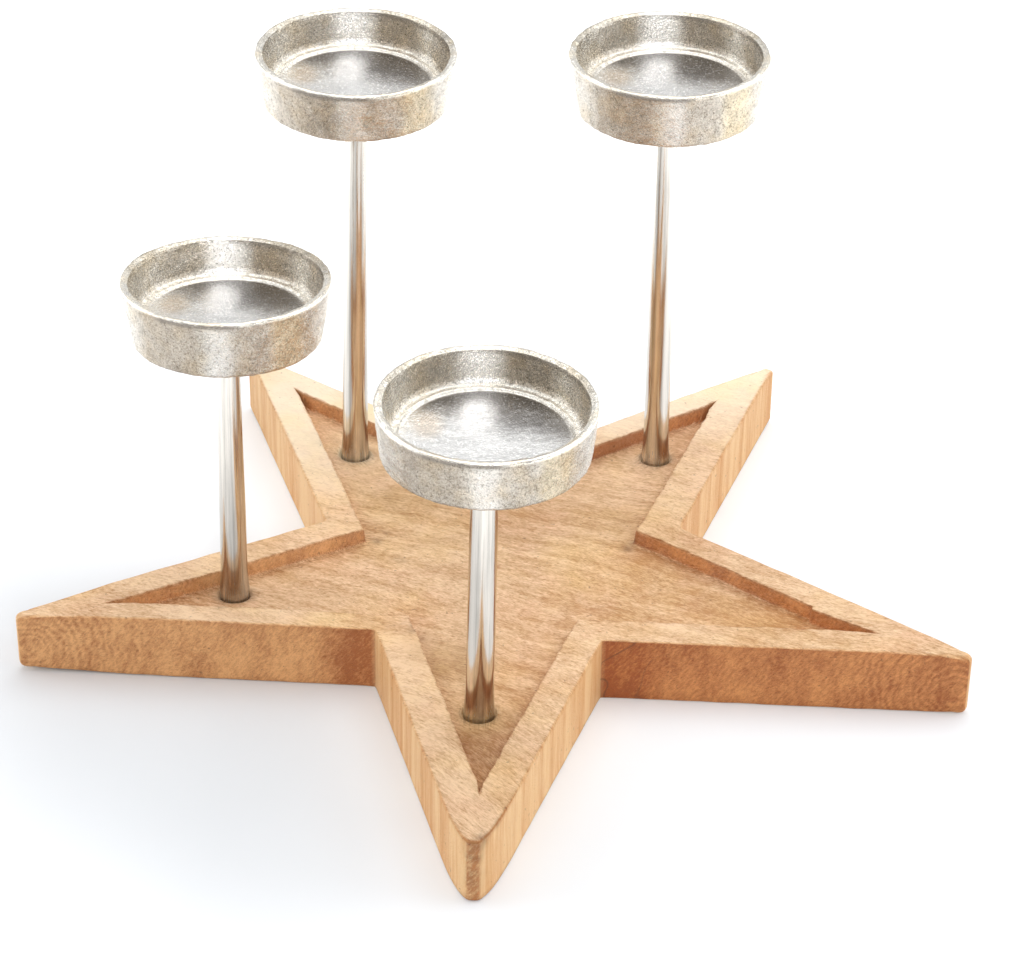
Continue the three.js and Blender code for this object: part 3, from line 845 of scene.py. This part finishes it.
def recess_outline(inner, sizes):
    """Recess outline: straight walls, and past each outer corner a narrow slot where chisel cuts overrun.

    One wall of the right point stands further in from its corner to where a second cut met it in a step.
    """
    ends, paths = [], []
    for index in range(POINTS):
        tip = inner[2 * index]
        end = tip * (1 + sizes.cut_overrun / np.linalg.norm(tip))
        both = []
        for notch in (inner[2 * index - 1], inner[2 * index + 1]):
            both.append([tip + unit(notch - tip) * 2 * sizes.cut_overrun, notch])
        ends.append(end)
        paths.append(both)
    tip, wall = inner[2 * STEP_POINT], paths[STEP_POINT][1]
    along = unit(wall[1] - tip)
    step = tip + along * STEP_FROM_TIP
    wall[1:1] = [step + left_of(along) * STEP_WIDTH, step + along * STEP_SLOPE]
    return two_sides(ends, paths)


def inward_of(outline):
    """Vectors square to a closed anticlockwise outline that point inwards.

    Each is the sum of its two sides' unit normals, lengthened so that both sides move by one unit, but
    at most twice as long.
    """
    ahead = unit(np.roll(outline, -1, axis=0) - outline)
    both = left_of(ahead + np.roll(ahead, 1, axis=0))
    square = (both * both).sum(axis=1, keepdims=True)
    return both * 2 / np.maximum(square, 1.0)


def inset_vectors(outline, target):
    """Vectors from an outline towards the same columns of a target line, so that columns never cross.

    One unit of them moves a place by one unit, measured square to its sides.
    """
    square = inward_of(outline)
    towards = target - outline
    return towards * ((square * square).sum(axis=1) / (towards * square).sum(axis=1))[:, None]


def moved(line, vectors, distance):
    """A line's places moved along their vectors, by one distance or by one each."""
    return line + vectors * np.broadcast_to(distance, len(line))[:, None]


def softened(outline, amount, rounds):
    """Rounds a closed outline: each round moves a place towards its neighbours' middle, by an amount."""
    for _ in range(rounds):
        middle = (np.roll(outline, 1, axis=0) + np.roll(outline, -1, axis=0)) / 2
        outline = moved(outline, middle - outline, amount)
    return outline


def distance_to_sides(places, corners):
    """Shortest distance in plan from places to the straight sides between corners."""
    nearest = np.full(places.shape[:-1], np.inf)
    for start, end in zip(corners, np.roll(corners, -1, axis=0)):
        side = end - start
        fraction = np.clip((places - start) @ side / (side @ side), 0, 1)
        gap = np.linalg.norm(places - start - fraction[..., None] * side, axis=-1)
        nearest = np.minimum(nearest, gap)
    return nearest


def spots(points, marks):
    """Sum of the marks' bell curves at each place."""
    total = np.zeros(points.shape[:2])
    for mark in marks:
        gap = np.linalg.norm(points - np.array(mark[:3]) * MM, axis=-1)
        total += mark.strength * bell(gap, mark.radius * MM)
    return total


def wear_ends(points, corners):
    """Thins the slab towards each point's end, by a bell curve of the distance from that end."""
    level = points[..., 2] / SLAB_THICKNESS
    for index in range(POINTS):
        reach = np.linalg.norm(corners[2 * index])
        from_end = reach - POINT_CUT[index] - points[..., :2] @ (corners[2 * index] / reach)
        wear = END_RISE[index] * (1 - level) - END_SINK[index] * level
        points[..., 2] += wear * bell(from_end, END_REACH[index])


def quarter(steps):
    """Even angles over a quarter turn."""
    return np.radians(np.linspace(0, 90, steps))


def mid_arris(angle):
    """How near a row of an arris is to its middle: 1 there, and least at its two edges."""
    return 1 - abs(2 * angle / math.pi - 0.5) * 1.4


def star_surface(sizes):
    """Grid of the whole star, and the layers that its finish reads.

    The columns go round the outline. The rows are a profile carried along it: from the underside's middle
    out to the edge, round the bottom arris, up the side, round the top arris, over the border, down the
    recess wall and in over the floor to its middle. Sanding hollows lower the surface by smooth noise.
    """
    corners = star_corners(sizes)
    inner = recess_corners(corners, sizes)
    outer_line = slab_outline(corners, sizes)
    inner_line = recess_outline(inner, sizes)
    columns = len(outer_line)
    step = np.arange(columns) % (2 * SIDE_COLUMNS)
    from_end = np.minimum(step, 2 * SIDE_COLUMNS - step)  # columns from the nearest point's end
    tip = bell(from_end, 8)
    notch = bell(SIDE_COLUMNS - from_end, 2)
    outer_line = softened(outer_line, 0.5 * tip + 0.05 * notch, 5)

    flat_line = np.concatenate([outer_line, np.zeros((columns, 1))], axis=1)
    end_arris = np.repeat(np.roll(np.repeat(END_ARRIS, 2), -1), SIDE_COLUMNS)
    arris = sizes.arris * (0.85 + 0.2 * waves(flat_line, 8 * MM, 11) + end_arris * tip - 0.3 * notch)
    lip = RECESS_LIP * (1 + 0.5 * waves(flat_line, 5 * MM, 12))
    jagged = waves(flat_line, 3.5 * MM, 13) * 0.12 * MM + waves(flat_line, 16 * MM, 14) * 0.2 * MM
    inner_line = moved(inner_line, inset_vectors(inner_line, inner_line * 0), jagged)
    onto_border = inset_vectors(outer_line, inner_line)
    onto_floor = inset_vectors(inner_line, inner_line * 0)
    back_to_rim = inset_vectors(inner_line, outer_line)  # points away from the floor

    top = SLAB_THICKNESS
    floor = SLAB_THICKNESS - sizes.recess
    rows, shares = [], []

    def add(plan, height, side=0.0, recess=0.0, edge=0.0):
        """Adds a row, and how far it is on the side, in the recess and on an edge."""
        rows.append(np.concatenate([plan, np.broadcast_to(height, (columns,))[:, None]], axis=1))
        shares.append((side, recess, edge))

    base_line = moved(outer_line, onto_border, arris)
    for share in UNDERSIDE_ROWS:
        add(base_line * share, 0.0)
    for angle in quarter(6):
        line = moved(outer_line, onto_border, arris * (1 - np.sin(angle)))
        add(line, arris * (1 - np.cos(angle)), np.sin(angle), edge=mid_arris(angle))
    for share in np.linspace(0, 1, 17)[1:-1]:
        add(outer_line, arris + (top - 2 * arris) * share, 1.0)
    for angle in quarter(8):
        line = moved(outer_line, onto_border, arris * (1 - np.cos(angle)))
        add(line, top - arris * (1 - np.sin(angle)), np.cos(angle), edge=mid_arris(angle))
    lip_line = moved(inner_line, back_to_rim, -lip)
    for share in BORDER_ROWS:
        add(base_line + (lip_line - base_line) * share, top)
    for angle in quarter(5):
        line = moved(inner_line, back_to_rim, -lip * (1 - np.sin(angle)))
        add(line, top - lip * (1 - np.cos(angle)), recess=np.sin(angle) * 0.5, edge=0.8)
    for share in np.linspace(0, 1, 6)[1:]:
        line = moved(inner_line, onto_floor, RECESS_DRAFT * share)
        add(line, top - lip + (floor + RECESS_COVE - top + lip) * share, recess=1.0)
    foot_line = moved(inner_line, onto_floor, RECESS_DRAFT)
    for angle in quarter(4)[1:]:
        line = moved(foot_line, onto_floor, RECESS_COVE * (1 - np.cos(angle)))
        add(line, floor + RECESS_COVE * (1 - np.sin(angle)), recess=1.0)
    floor_line = moved(foot_line, onto_floor, RECESS_COVE)
    for share in FLOOR_ROWS:
        add(floor_line * share, floor, recess=1.0)

    points = np.array(rows)
    layers = {
        name: np.repeat(values[:, None], columns, axis=1)
        for name, values in zip(("side", "recess", "edge"), np.array(shares).T)
    }
    hollow = 0.5 + 0.5 * (0.75 * waves(points, 30 * MM, 21) + 0.25 * waves(points, 9 * MM, 22))
    free = ease(points[..., 2], 0.4 * MM, 2.5 * MM)
    points = points - grid_normals(points) * (sizes.waviness * hollow * free)[..., None]

    normals = grid_normals(points)
    layers["cut_end"] = ease(np.abs(normals[..., 1]), 0.62, 0.9)
    layers["wall"] = layers["recess"] * ease(np.abs(normals[..., 2]), 0.85, 0.4)
    above_floor = np.maximum(points[..., 2] - floor, 0)
    from_wall = distance_to_sides(points[..., :2], inner)
    # Where shade is painted in the crease at the foot of the walls.
    layers["foot"] = bell(above_floor, 0.9 * MM) * bell(from_wall, 1.9 * MM) * layers["recess"]
    wear_ends(points, corners)
    # Painted shade of the cups on the recess floor.
    layers["patch"] = spots(points, CUP_SHADOWS) * (1 + 0.3 * waves(points, 6 * MM, 32))
    slots = inner[0::2] - unit(inner[0::2]) * 0.5 * MM
    stain = spots(points, MARKS) + spots(points, [Mark(*slot, floor / MM, 2.6, 0.6) for slot in slots / MM])
    for holder in HOLDERS:
        foot = np.array([*holder.foot, floor / MM]) * MM
        from_seat = np.linalg.norm(points - foot, axis=-1) - 3.6 * MM
        stain += 0.5 * bell(np.maximum(from_seat, 0), 0.8 * MM)
    layers["stain"] = stain * (1 + 0.5 * waves(points, 2.2 * MM, 31))
    return points, layers


def stepped_cutter():
    """Profile of what is bored out at one holder: counterbore, stud hole and the stem's seat."""
    low, high = -SLAB_THICKNESS, 2 * MM
    return np.array([
        [0, low],
        [COUNTERBORE_DIAMETER / 2, low],
        [COUNTERBORE_DIAMETER / 2, COUNTERBORE_LEVEL],
        [STUD_HOLE_DIAMETER / 2, COUNTERBORE_LEVEL],
        [STUD_HOLE_DIAMETER / 2, -SEAT_DEPTH],
        [SEAT_DIAMETER / 2, -SEAT_DEPTH],
        [SEAT_DIAMETER / 2, high],
        [0, high],
    ])


def build_star(sizes):
    """Adds the star and bores it at every holder."""
    points, layers = star_surface(sizes)
    piece = piece_from_grid("wooden_star", points, layers)
    profile = stepped_cutter()
    for holder in HOLDERS:
        cutter = piece_from_grid(f"{holder.name}_cutter", holder_place(holder, turned(profile, 64)))
        boolean = piece.modifiers.new(cutter.name, "BOOLEAN")
        boolean.operation = "DIFFERENCE"
        boolean.solver = "MANIFOLD"
        boolean.object = cutter
    apply_modifiers(piece)
    for holder in HOLDERS:
        bpy.data.objects.remove(bpy.data.objects[f"{holder.name}_cutter"])
    settle(piece, "star_base", "mango_wood")


def cup_profile(holder, sizes):
    """Profile of a cup from the top of its socket round the outside, over the rim and down to its floor.

    Returns the rows, and for each row how far it is smooth floor, rim, ledge, the band below the rim where
    shade is painted, and the inside of the cup.
    """
    height, base = holder.cup_height * MM, holder.base * MM / 2
    mouth = sizes.mouth / 2
    rim = mouth + sizes.wall
    ledge = height - sizes.depth
    wall_foot = mouth - (rim - base) / height * sizes.depth
    floor_edge = wall_foot - sizes.ledge
    floor = ledge - sizes.floor_step
    rim_centre = height - sizes.rim_round
    bevel_foot = height - sizes.bevel_drop
    out = np.linspace(1, 0, 9)
    dish_radius = (floor_edge - sizes.floor_step) * out
    dish = np.stack([dish_radius, floor - sizes.floor_dish * (1 - out * out)], axis=-1)
    profile = np.concatenate([
        [[0, sizes.socket_depth], [sizes.socket / 2, sizes.socket_depth], [sizes.socket / 2, 0]],
        arc(base - sizes.base_round, sizes.base_round, sizes.base_round, -90, 0),
        arc(rim - sizes.rim_round, rim_centre, sizes.rim_round, 0, 90),
        [[mouth + sizes.bevel_round + sizes.bevel, height]],
        arc(mouth + sizes.bevel_round, bevel_foot - sizes.bevel_round, sizes.bevel_round, 90, 180, 5),
        arc(wall_foot - sizes.cove, ledge + sizes.cove, sizes.cove, 0, -90),
        [[floor_edge, ledge]],
        dish,
    ])
    profile = refined(profile, 0.55 * MM)
    inside = np.arange(len(profile)) > np.argmax(profile[:, 1])
    smooth = inside * ease(profile[:, 0], floor_edge - 0.1 * MM, floor_edge - 1.2 * MM)
    sunk = height - profile[:, 1]
    layers = {
        "smooth": smooth,
        "rim": ease(sunk, 1.2 * MM, 0.3 * MM),
        "ledge": inside * ease(profile[:, 1], ledge + 0.4 * MM, ledge + 0.1 * MM) * (1 - smooth),
        "collar": ease(sunk, 0.35 * MM, 0.6 * MM) * ease(sunk, 1.9 * MM, 1.1 * MM),
        "inside": inside * 1.0,
    }
    return profile, layers


def cup_surface(holder, sizes, columns=320):
    """Grid of one cup in its holder's frame.

    The profile is turned about the stem's line. Smooth noise of three sizes then sinks the cast skin, less
    on the floor, and a slow wave round the rim lowers it unevenly.
    """
    profile, shares = cup_profile(holder, sizes)
    points = turned(profile, columns)
    seed = CUP_SEED + HOLDERS.index(holder)
    layers = {name: np.repeat(share[:, None], columns, axis=1) for name, share in shares.items()}
    layers["own_place"] = points + [0, 0, PATTERN_SHIFT * seed]
    skin = (
        0.45 * waves(points, 6 * MM, seed) + 0.35 * waves(points, 2.6 * MM, seed + 10)
        + 0.3 * waves(points, 1.4 * MM, seed + 20)
    )
    beside_socket = ease(profile[:, 0], 2.4 * MM, 4 * MM)[:, None]
    depth = sizes.lumps * (1 + skin) * (1 - 0.8 * layers["smooth"]) * beside_socket
    points = points - grid_normals(points) * depth[..., None]
    height = holder.cup_height * MM
    upper = ease(profile[:, 1], height - 5 * MM, height)[:, None]
    points[..., 2] -= upper * RIM_DROOP * (1 + waves(points * [1, 1, 0], 17 * MM, seed + 30))
    points[..., 2] += cup_level(holder)
    return points, layers


def stem_surface(holder, sizes, columns=72):
    """Grid of one stem in its holder's frame: a turned profile with a blind bore, a flared foot and a bead.

    Smooth noise wanders along the rod and roughens the bead.
    """
    cups = bpy.context.scene.star_holder.cups
    top = cup_level(holder)
    foot, low, high = sizes.foot / 2, sizes.low / 2, holder.stem_top * MM / 2
    bore, bore_top = STUD_DIAMETER / 2 + CLEARANCE, STUD_HIGH + CLEARANCE
    foot_level = -SEAT_DEPTH + 0.05 * MM
    flare = np.linspace(0, 1, 13)[1:]
    bead = np.linspace(0, 1, 9)
    spigot = cups.socket / 2 - SPIGOT_CLEARANCE
    tip = top + cups.socket_depth - SPIGOT_CLEARANCE
    profile = np.concatenate([
        [[0, bore_top], [bore, bore_top], [bore, foot_level], [foot, foot_level], [foot, SEAT_DEPTH]],
        np.stack([low + (foot - low) * (1 - flare) ** 1.6, SEAT_DEPTH + sizes.flare * flare], axis=-1),
        np.stack([high + sizes.bead_width * bead**2.4, top - sizes.bead_height * (1 - bead)], axis=-1),
        [[spigot, top], [spigot, tip], [0, tip]],
    ])
    profile = refined(profile, 1.2 * MM)
    points = turned(profile, columns)
    seed = STEM_SEED + HOLDERS.index(holder)
    near_bead = ease(profile[:, 1], top - 1.7 * sizes.bead_height, top - 0.4 * sizes.bead_height)
    near_bead *= profile[:, 0] > spigot + 0.05 * MM
    layers = {
        "own_place": points + [PATTERN_SHIFT * seed, 0, 0],
        "bead": np.repeat(near_bead[:, None], columns, axis=1),
    }
    sink = layers["bead"] * BEAD_ROUGHNESS * (1 + waves(points, 3 * MM, seed))
    radius = np.maximum(np.linalg.norm(points[..., :2], axis=-1), 1e-9)
    outside = (profile[:, 0] > bore + 0.1 * MM)[:, None] * ease(profile[:, 1], 0, 4 * MM)[:, None]
    sink += outside * ROD_WANDER * (1 - waves(points * [0.35, 0.35, 1], 30 * MM, seed + 10))
    points[..., :2] *= ((radius - sink) / radius)[..., None]
    return points, layers


def thread_radius(angle, height):
    """Radius of a thread: it sinks by the thread's depth and comes back once per pitch, along a helix."""
    phase = (height / THREAD_PITCH - angle / (2 * np.pi)) % 1
    return STUD_DIAMETER / 2 - THREAD_DEPTH * (1 - np.abs(2 * phase - 1)).clip(0.12, 0.88)


def stud_surface(columns=40):
    """Grid of a threaded stud: rows of even height whose radius follows the thread, with tapered ends."""
    heights = np.linspace(STUD_LOW, STUD_HIGH, 190)[:, None]
    angle = turn_angles(columns)
    from_end = np.minimum(heights - STUD_LOW, STUD_HIGH - heights)
    radius = np.minimum(thread_radius(angle, heights), STUD_DIAMETER / 2 - 0.5 * MM + from_end)
    body = around(radius, angle, heights)
    return np.concatenate([body[:1] * [0, 0, 1], body, body[-1:] * [0, 0, 1]])


def washer_surface(columns=72):
    """Grid of a washer: a slim rectangle with rounded corners, turned round the stud."""
    inner, outer = STUD_DIAMETER / 2 + CLEARANCE, WASHER_DIAMETER / 2
    low, high, soft = WASHER_TOP - WASHER_THICKNESS, WASHER_TOP, 0.18 * MM
    profile = np.concatenate([
        arc(outer - soft, low + soft, soft, -90, 0, 3),
        arc(outer - soft, high - soft, soft, 0, 90, 3),
        arc(inner + soft, high - soft, soft, 90, 180, 3),
        arc(inner + soft, low + soft, soft, 180, 270, 3),
    ])
    return turned(profile, columns)


def nut_surface(columns=144):
    """Grid of a hexagon nut: the outer radius is the smaller of the hexagon's and a chamfer cone's.

    A hexagon's radius at angle t is half its width across flats over the cosine of the angle to the
    nearest flat's middle. The bore carries the stud's thread with a small clearance.
    """
    low, high = NUT_TOP - NUT_THICKNESS, NUT_TOP
    angle = turn_angles(columns)
    sector = np.pi / 3
    hexagon = NUT_ACROSS_FLATS / 2 / np.cos((angle + sector / 2) % sector - sector / 2)
    chamfer = 0.7 * MM
    outer_heights = np.concatenate([
        np.linspace(low, low + chamfer, 8),
        np.linspace(low + chamfer, high - chamfer, 7)[1:-1],
        np.linspace(high - chamfer, high, 8),
    ])[:, None]
    inner_heights = np.linspace(high, low, 34)[:, None]
    heights = np.concatenate([outer_heights, inner_heights])
    to_face = np.minimum(heights - low, high - heights)
    cone = NUT_ACROSS_FLATS / 2 - 0.1 * MM + to_face / math.tan(math.radians(30))
    bore = np.maximum(thread_radius(angle, heights) + 0.12 * MM, STUD_DIAMETER / 2 + CLEARANCE - to_face)
    is_outer = np.arange(len(heights))[:, None] < len(outer_heights)
    return around(np.where(is_outer, np.minimum(hexagon, cone), bore), angle, heights)


class StepOperator:
    """What all the holder's operators share."""

    bl_options = {"REGISTER", "UNDO"}


class AddStar(StepOperator, bpy.types.Operator):
    """Adds the wooden star with its routed recess and bores"""

    bl_idname = "star_holder.add_star"
    bl_label = "Wooden star"

    def execute(self, context):
        build_star(context.scene.star_holder.star)
        return {"FINISHED"}


class AddCups(StepOperator, bpy.types.Operator):
    """Adds the four cast cups"""

    bl_idname = "star_holder.add_cups"
    bl_label = "Cast cups"

    def execute(self, context):
        for holder in HOLDERS:
            points, layers = cup_surface(holder, context.scene.star_holder.cups)
            piece = piece_from_grid(f"{holder.name}_cast_cup", holder_place(holder, points), layers)
            settle(piece, f"{holder.name}_cup", "cast_aluminium")
        return {"FINISHED"}


class AddStems(StepOperator, bpy.types.Operator):
    """Adds the four polished stems"""

    bl_idname = "star_holder.add_stems"
    bl_label = "Polished stems"

    def execute(self, context):
        for holder in HOLDERS:
            points, layers = stem_surface(holder, context.scene.star_holder.stems)
            piece = piece_from_grid(f"{holder.name}_polished_stem", holder_place(holder, points), layers)
            settle(piece, f"{holder.name}_stem", "polished_nickel")
        return {"FINISHED"}


class AddHardware(StepOperator, bpy.types.Operator):
    """Adds the threaded studs, washers and nuts that hold the stems"""

    bl_idname = "star_holder.add_hardware"
    bl_label = "Studs, washers and nuts"

    def execute(self, context):
        kinds = (
            ("stud", stud_surface(), False),
            ("washer", washer_surface(), True),
            ("nut", nut_surface(), True),
        )
        for holder in HOLDERS:
            for kind, points, ring in kinds:
                layers = {"own_place": points + [PATTERN_SHIFT * HOLDERS.index(holder), 0, 0]}
                name = f"{holder.name}_zinc_{kind}"
                piece = piece_from_grid(name, holder_place(holder, points), layers, ring)
                settle(piece, f"{holder.name}_{kind}", "zinc_steel")
        return {"FINISHED"}


# Camera, found by fitting the star's corners to the photograph
CAMERA_PLACE = (0.022315, -0.596658, 0.405517)
CAMERA_RIGHT = (0.9991299, 0.0397042, 0.0127688)
CAMERA_UP = (-0.0318053, 0.5272944, 0.8490872)
CAMERA_FORWARD = (-0.0269794, 0.8487545, -0.5280984)
CAMERA_LENS = 108.43  # millimetres, on a sensor of the next width
CAMERA_SENSOR = 36.0

WHITE = (1, 1, 1, 1)
FLOOR_REACH = 6.0
STAGE_MIDDLE = (0, 0, 0.04)
LAMPS = (  # name, place, target, width, height and the level that sets the radiance
    ("key_lamp", (0.08, 0.37, 0.92), (0.08, 0.34, 0.0), 0.9, 0.9, "key"),
    ("right_lamp", (1.0, 0.05, 0.42), STAGE_MIDDLE, 0.7, 0.75, "fill"),
    ("left_lamp", (-1.0, 0.05, 0.42), STAGE_MIDDLE, 0.7, 0.75, "fill"),
    ("face_lamp", (0.1, -1.0, 0.78), STAGE_MIDDLE, 0.24, 0.5, "face"),
)


def add_camera():
    """Adds the camera: its columns are its right, its up, its back and its place."""
    data = bpy.data.cameras.new("camera")
    data.sensor_fit = "HORIZONTAL"
    data.sensor_width = CAMERA_SENSOR
    data.lens = CAMERA_LENS
    data.clip_start, data.clip_end = 0.01, 20
    camera = bpy.data.objects.new("camera", data)
    back = [-part for part in CAMERA_FORWARD]
    camera.matrix_world = Matrix([
        (CAMERA_RIGHT[axis], CAMERA_UP[axis], back[axis], CAMERA_PLACE[axis]) for axis in range(3)
    ] + [(0, 0, 0, 1)])
    bpy.context.scene.collection.objects.link(camera)
    bpy.context.scene.camera = camera


def add_softbox(name, place, target, width, height, radiance):
    """A rectangular lamp that looks at a target. Its power is radiance times pi times its area."""
    data = bpy.data.lights.new(name, "AREA")
    data.shape = "RECTANGLE"
    data.size, data.size_y = width, height
    data.energy = radiance * math.pi * width * height
    lamp = bpy.data.objects.new(name, data)
    lamp.location = place
    lamp.rotation_euler = (Vector(target) - Vector(place)).to_track_quat("-Z", "Y").to_euler()
    bpy.context.scene.collection.objects.link(lamp)


def seen_through(graph):
    """1 for rays that show the background: from the camera, off gloss and through glass."""
    kinds = ("Is Camera Ray", "Is Glossy Ray", "Is Transmission Ray")
    camera, glossy, transmission = (graph.node("LightPath", {}, {}, kind) for kind in kinds)
    return graph.clamp(camera + glossy + transmission)


def add_floor(levels):
    """Adds the floor, which glows where the photograph's floor is white and keeps the shadow elsewhere."""
    corners = [(x * FLOOR_REACH, y * FLOOR_REACH, 0) for x, y in ((-1, -1), (1, -1), (1, 1), (-1, 1))]
    mesh = bpy.data.meshes.new("floor")
    mesh.from_pydata(corners, [], [(0, 1, 2, 3)])
    floor = bpy.data.objects.new("floor", mesh)
    bpy.context.scene.collection.objects.link(floor)
    material, graph = new_graph("pale_floor")
    diffuse = graph.node("BsdfDiffuse", {}, {"Color": (*levels.floor, 1)})
    place = graph.node("TexCoord", {}, {}, 3)
    x, y, _ = graph.split(place)
    away = graph.ease(graph.length(place), 0.10, 0.22)
    unshaded = graph.clamp(graph.ease(x, -0.06, 0.0) + graph.ease(y, -0.01, 0.05) * 1.5, 0.0, 1.5)
    lift = seen_through(graph) * (away * levels.far_lift + unshaded * levels.side_lift)
    glow = graph.node("Emission", {}, {"Color": WHITE, "Strength": lift})
    graph.show(graph.node("AddShader", {}, {0: diffuse, 1: glow}))
    mesh.materials.append(material)


def light_world(levels):
    """Even light, weaker from the camera's side (-Y), and plain white where the camera sees it."""
    world = bpy.data.worlds.new("studio")
    bpy.context.scene.world = world
    world.use_nodes = True
    graph = Graph(world.node_tree)
    direction = graph.node("TexCoord", {}, {}, 0)
    behind = graph.ease(graph.split(direction)[1], -0.75, 0.1)
    even = behind * (1.0 - levels.front) + levels.front
    by_camera = graph.node("LightPath", {}, {}, "Is Camera Ray")
    off_gloss = graph.node("LightPath", {}, {}, "Is Glossy Ray")
    lit = even * (off_gloss * (levels.gloss - levels.sky) + levels.sky)
    strength = by_camera + lit * (1.0 - by_camera)
    graph.show(graph.node("Background", {}, {"Color": WHITE, "Strength": strength}), "OutputWorld")


class AddStage(StepOperator, bpy.types.Operator):
    """Adds the pale floor, the soft lamps and the camera"""

    bl_idname = "star_holder.add_stage"
    bl_label = "Stage"

    def execute(self, context):
        levels = context.scene.star_holder.stage
        add_floor(levels)
        light_world(levels)
        for *lamp, level in LAMPS:
            add_softbox(*lamp, getattr(levels, level))
        add_camera()
        context.scene.view_settings.view_transform = "Standard"
        return {"FINISHED"}


STEPS = (AddStar, AddCups, AddStems, AddHardware, AddStage)


class StarHolderPanel(bpy.types.Panel):
    """Lists the steps that build the holder"""

    bl_idname = "VIEW3D_PT_star_holder"
    bl_label = "Star candle holder"
    bl_space_type = "VIEW_3D"
    bl_region_type = "UI"
    bl_category = "Star holder"

    def draw(self, context):
        for step in STEPS:
            self.layout.operator(step.bl_idname)


CLASSES = (StarSizes, CupSizes, StemSizes, Finishes, StageLevels, StarHolder, *STEPS, StarHolderPanel)


def register():
    """Registers the classes and gives the scene its sizes and colours."""
    for each in CLASSES:
        bpy.utils.register_class(each)
    bpy.types.Scene.star_holder = bpy.props.PointerProperty(type=StarHolder)


def unregister():
    """Takes back what register did."""
    del bpy.types.Scene.star_holder
    for each in reversed(CLASSES):
        bpy.utils.unregister_class(each)


def main():
    """Builds the holder and its stage."""
    register()
    bpy.ops.star_holder.add_star()
    bpy.ops.star_holder.add_cups()
    bpy.ops.star_holder.add_stems()
    bpy.ops.star_holder.add_hardware()
    bpy.ops.star_holder.add_stage()


if __name__ == "__main__":
    main()
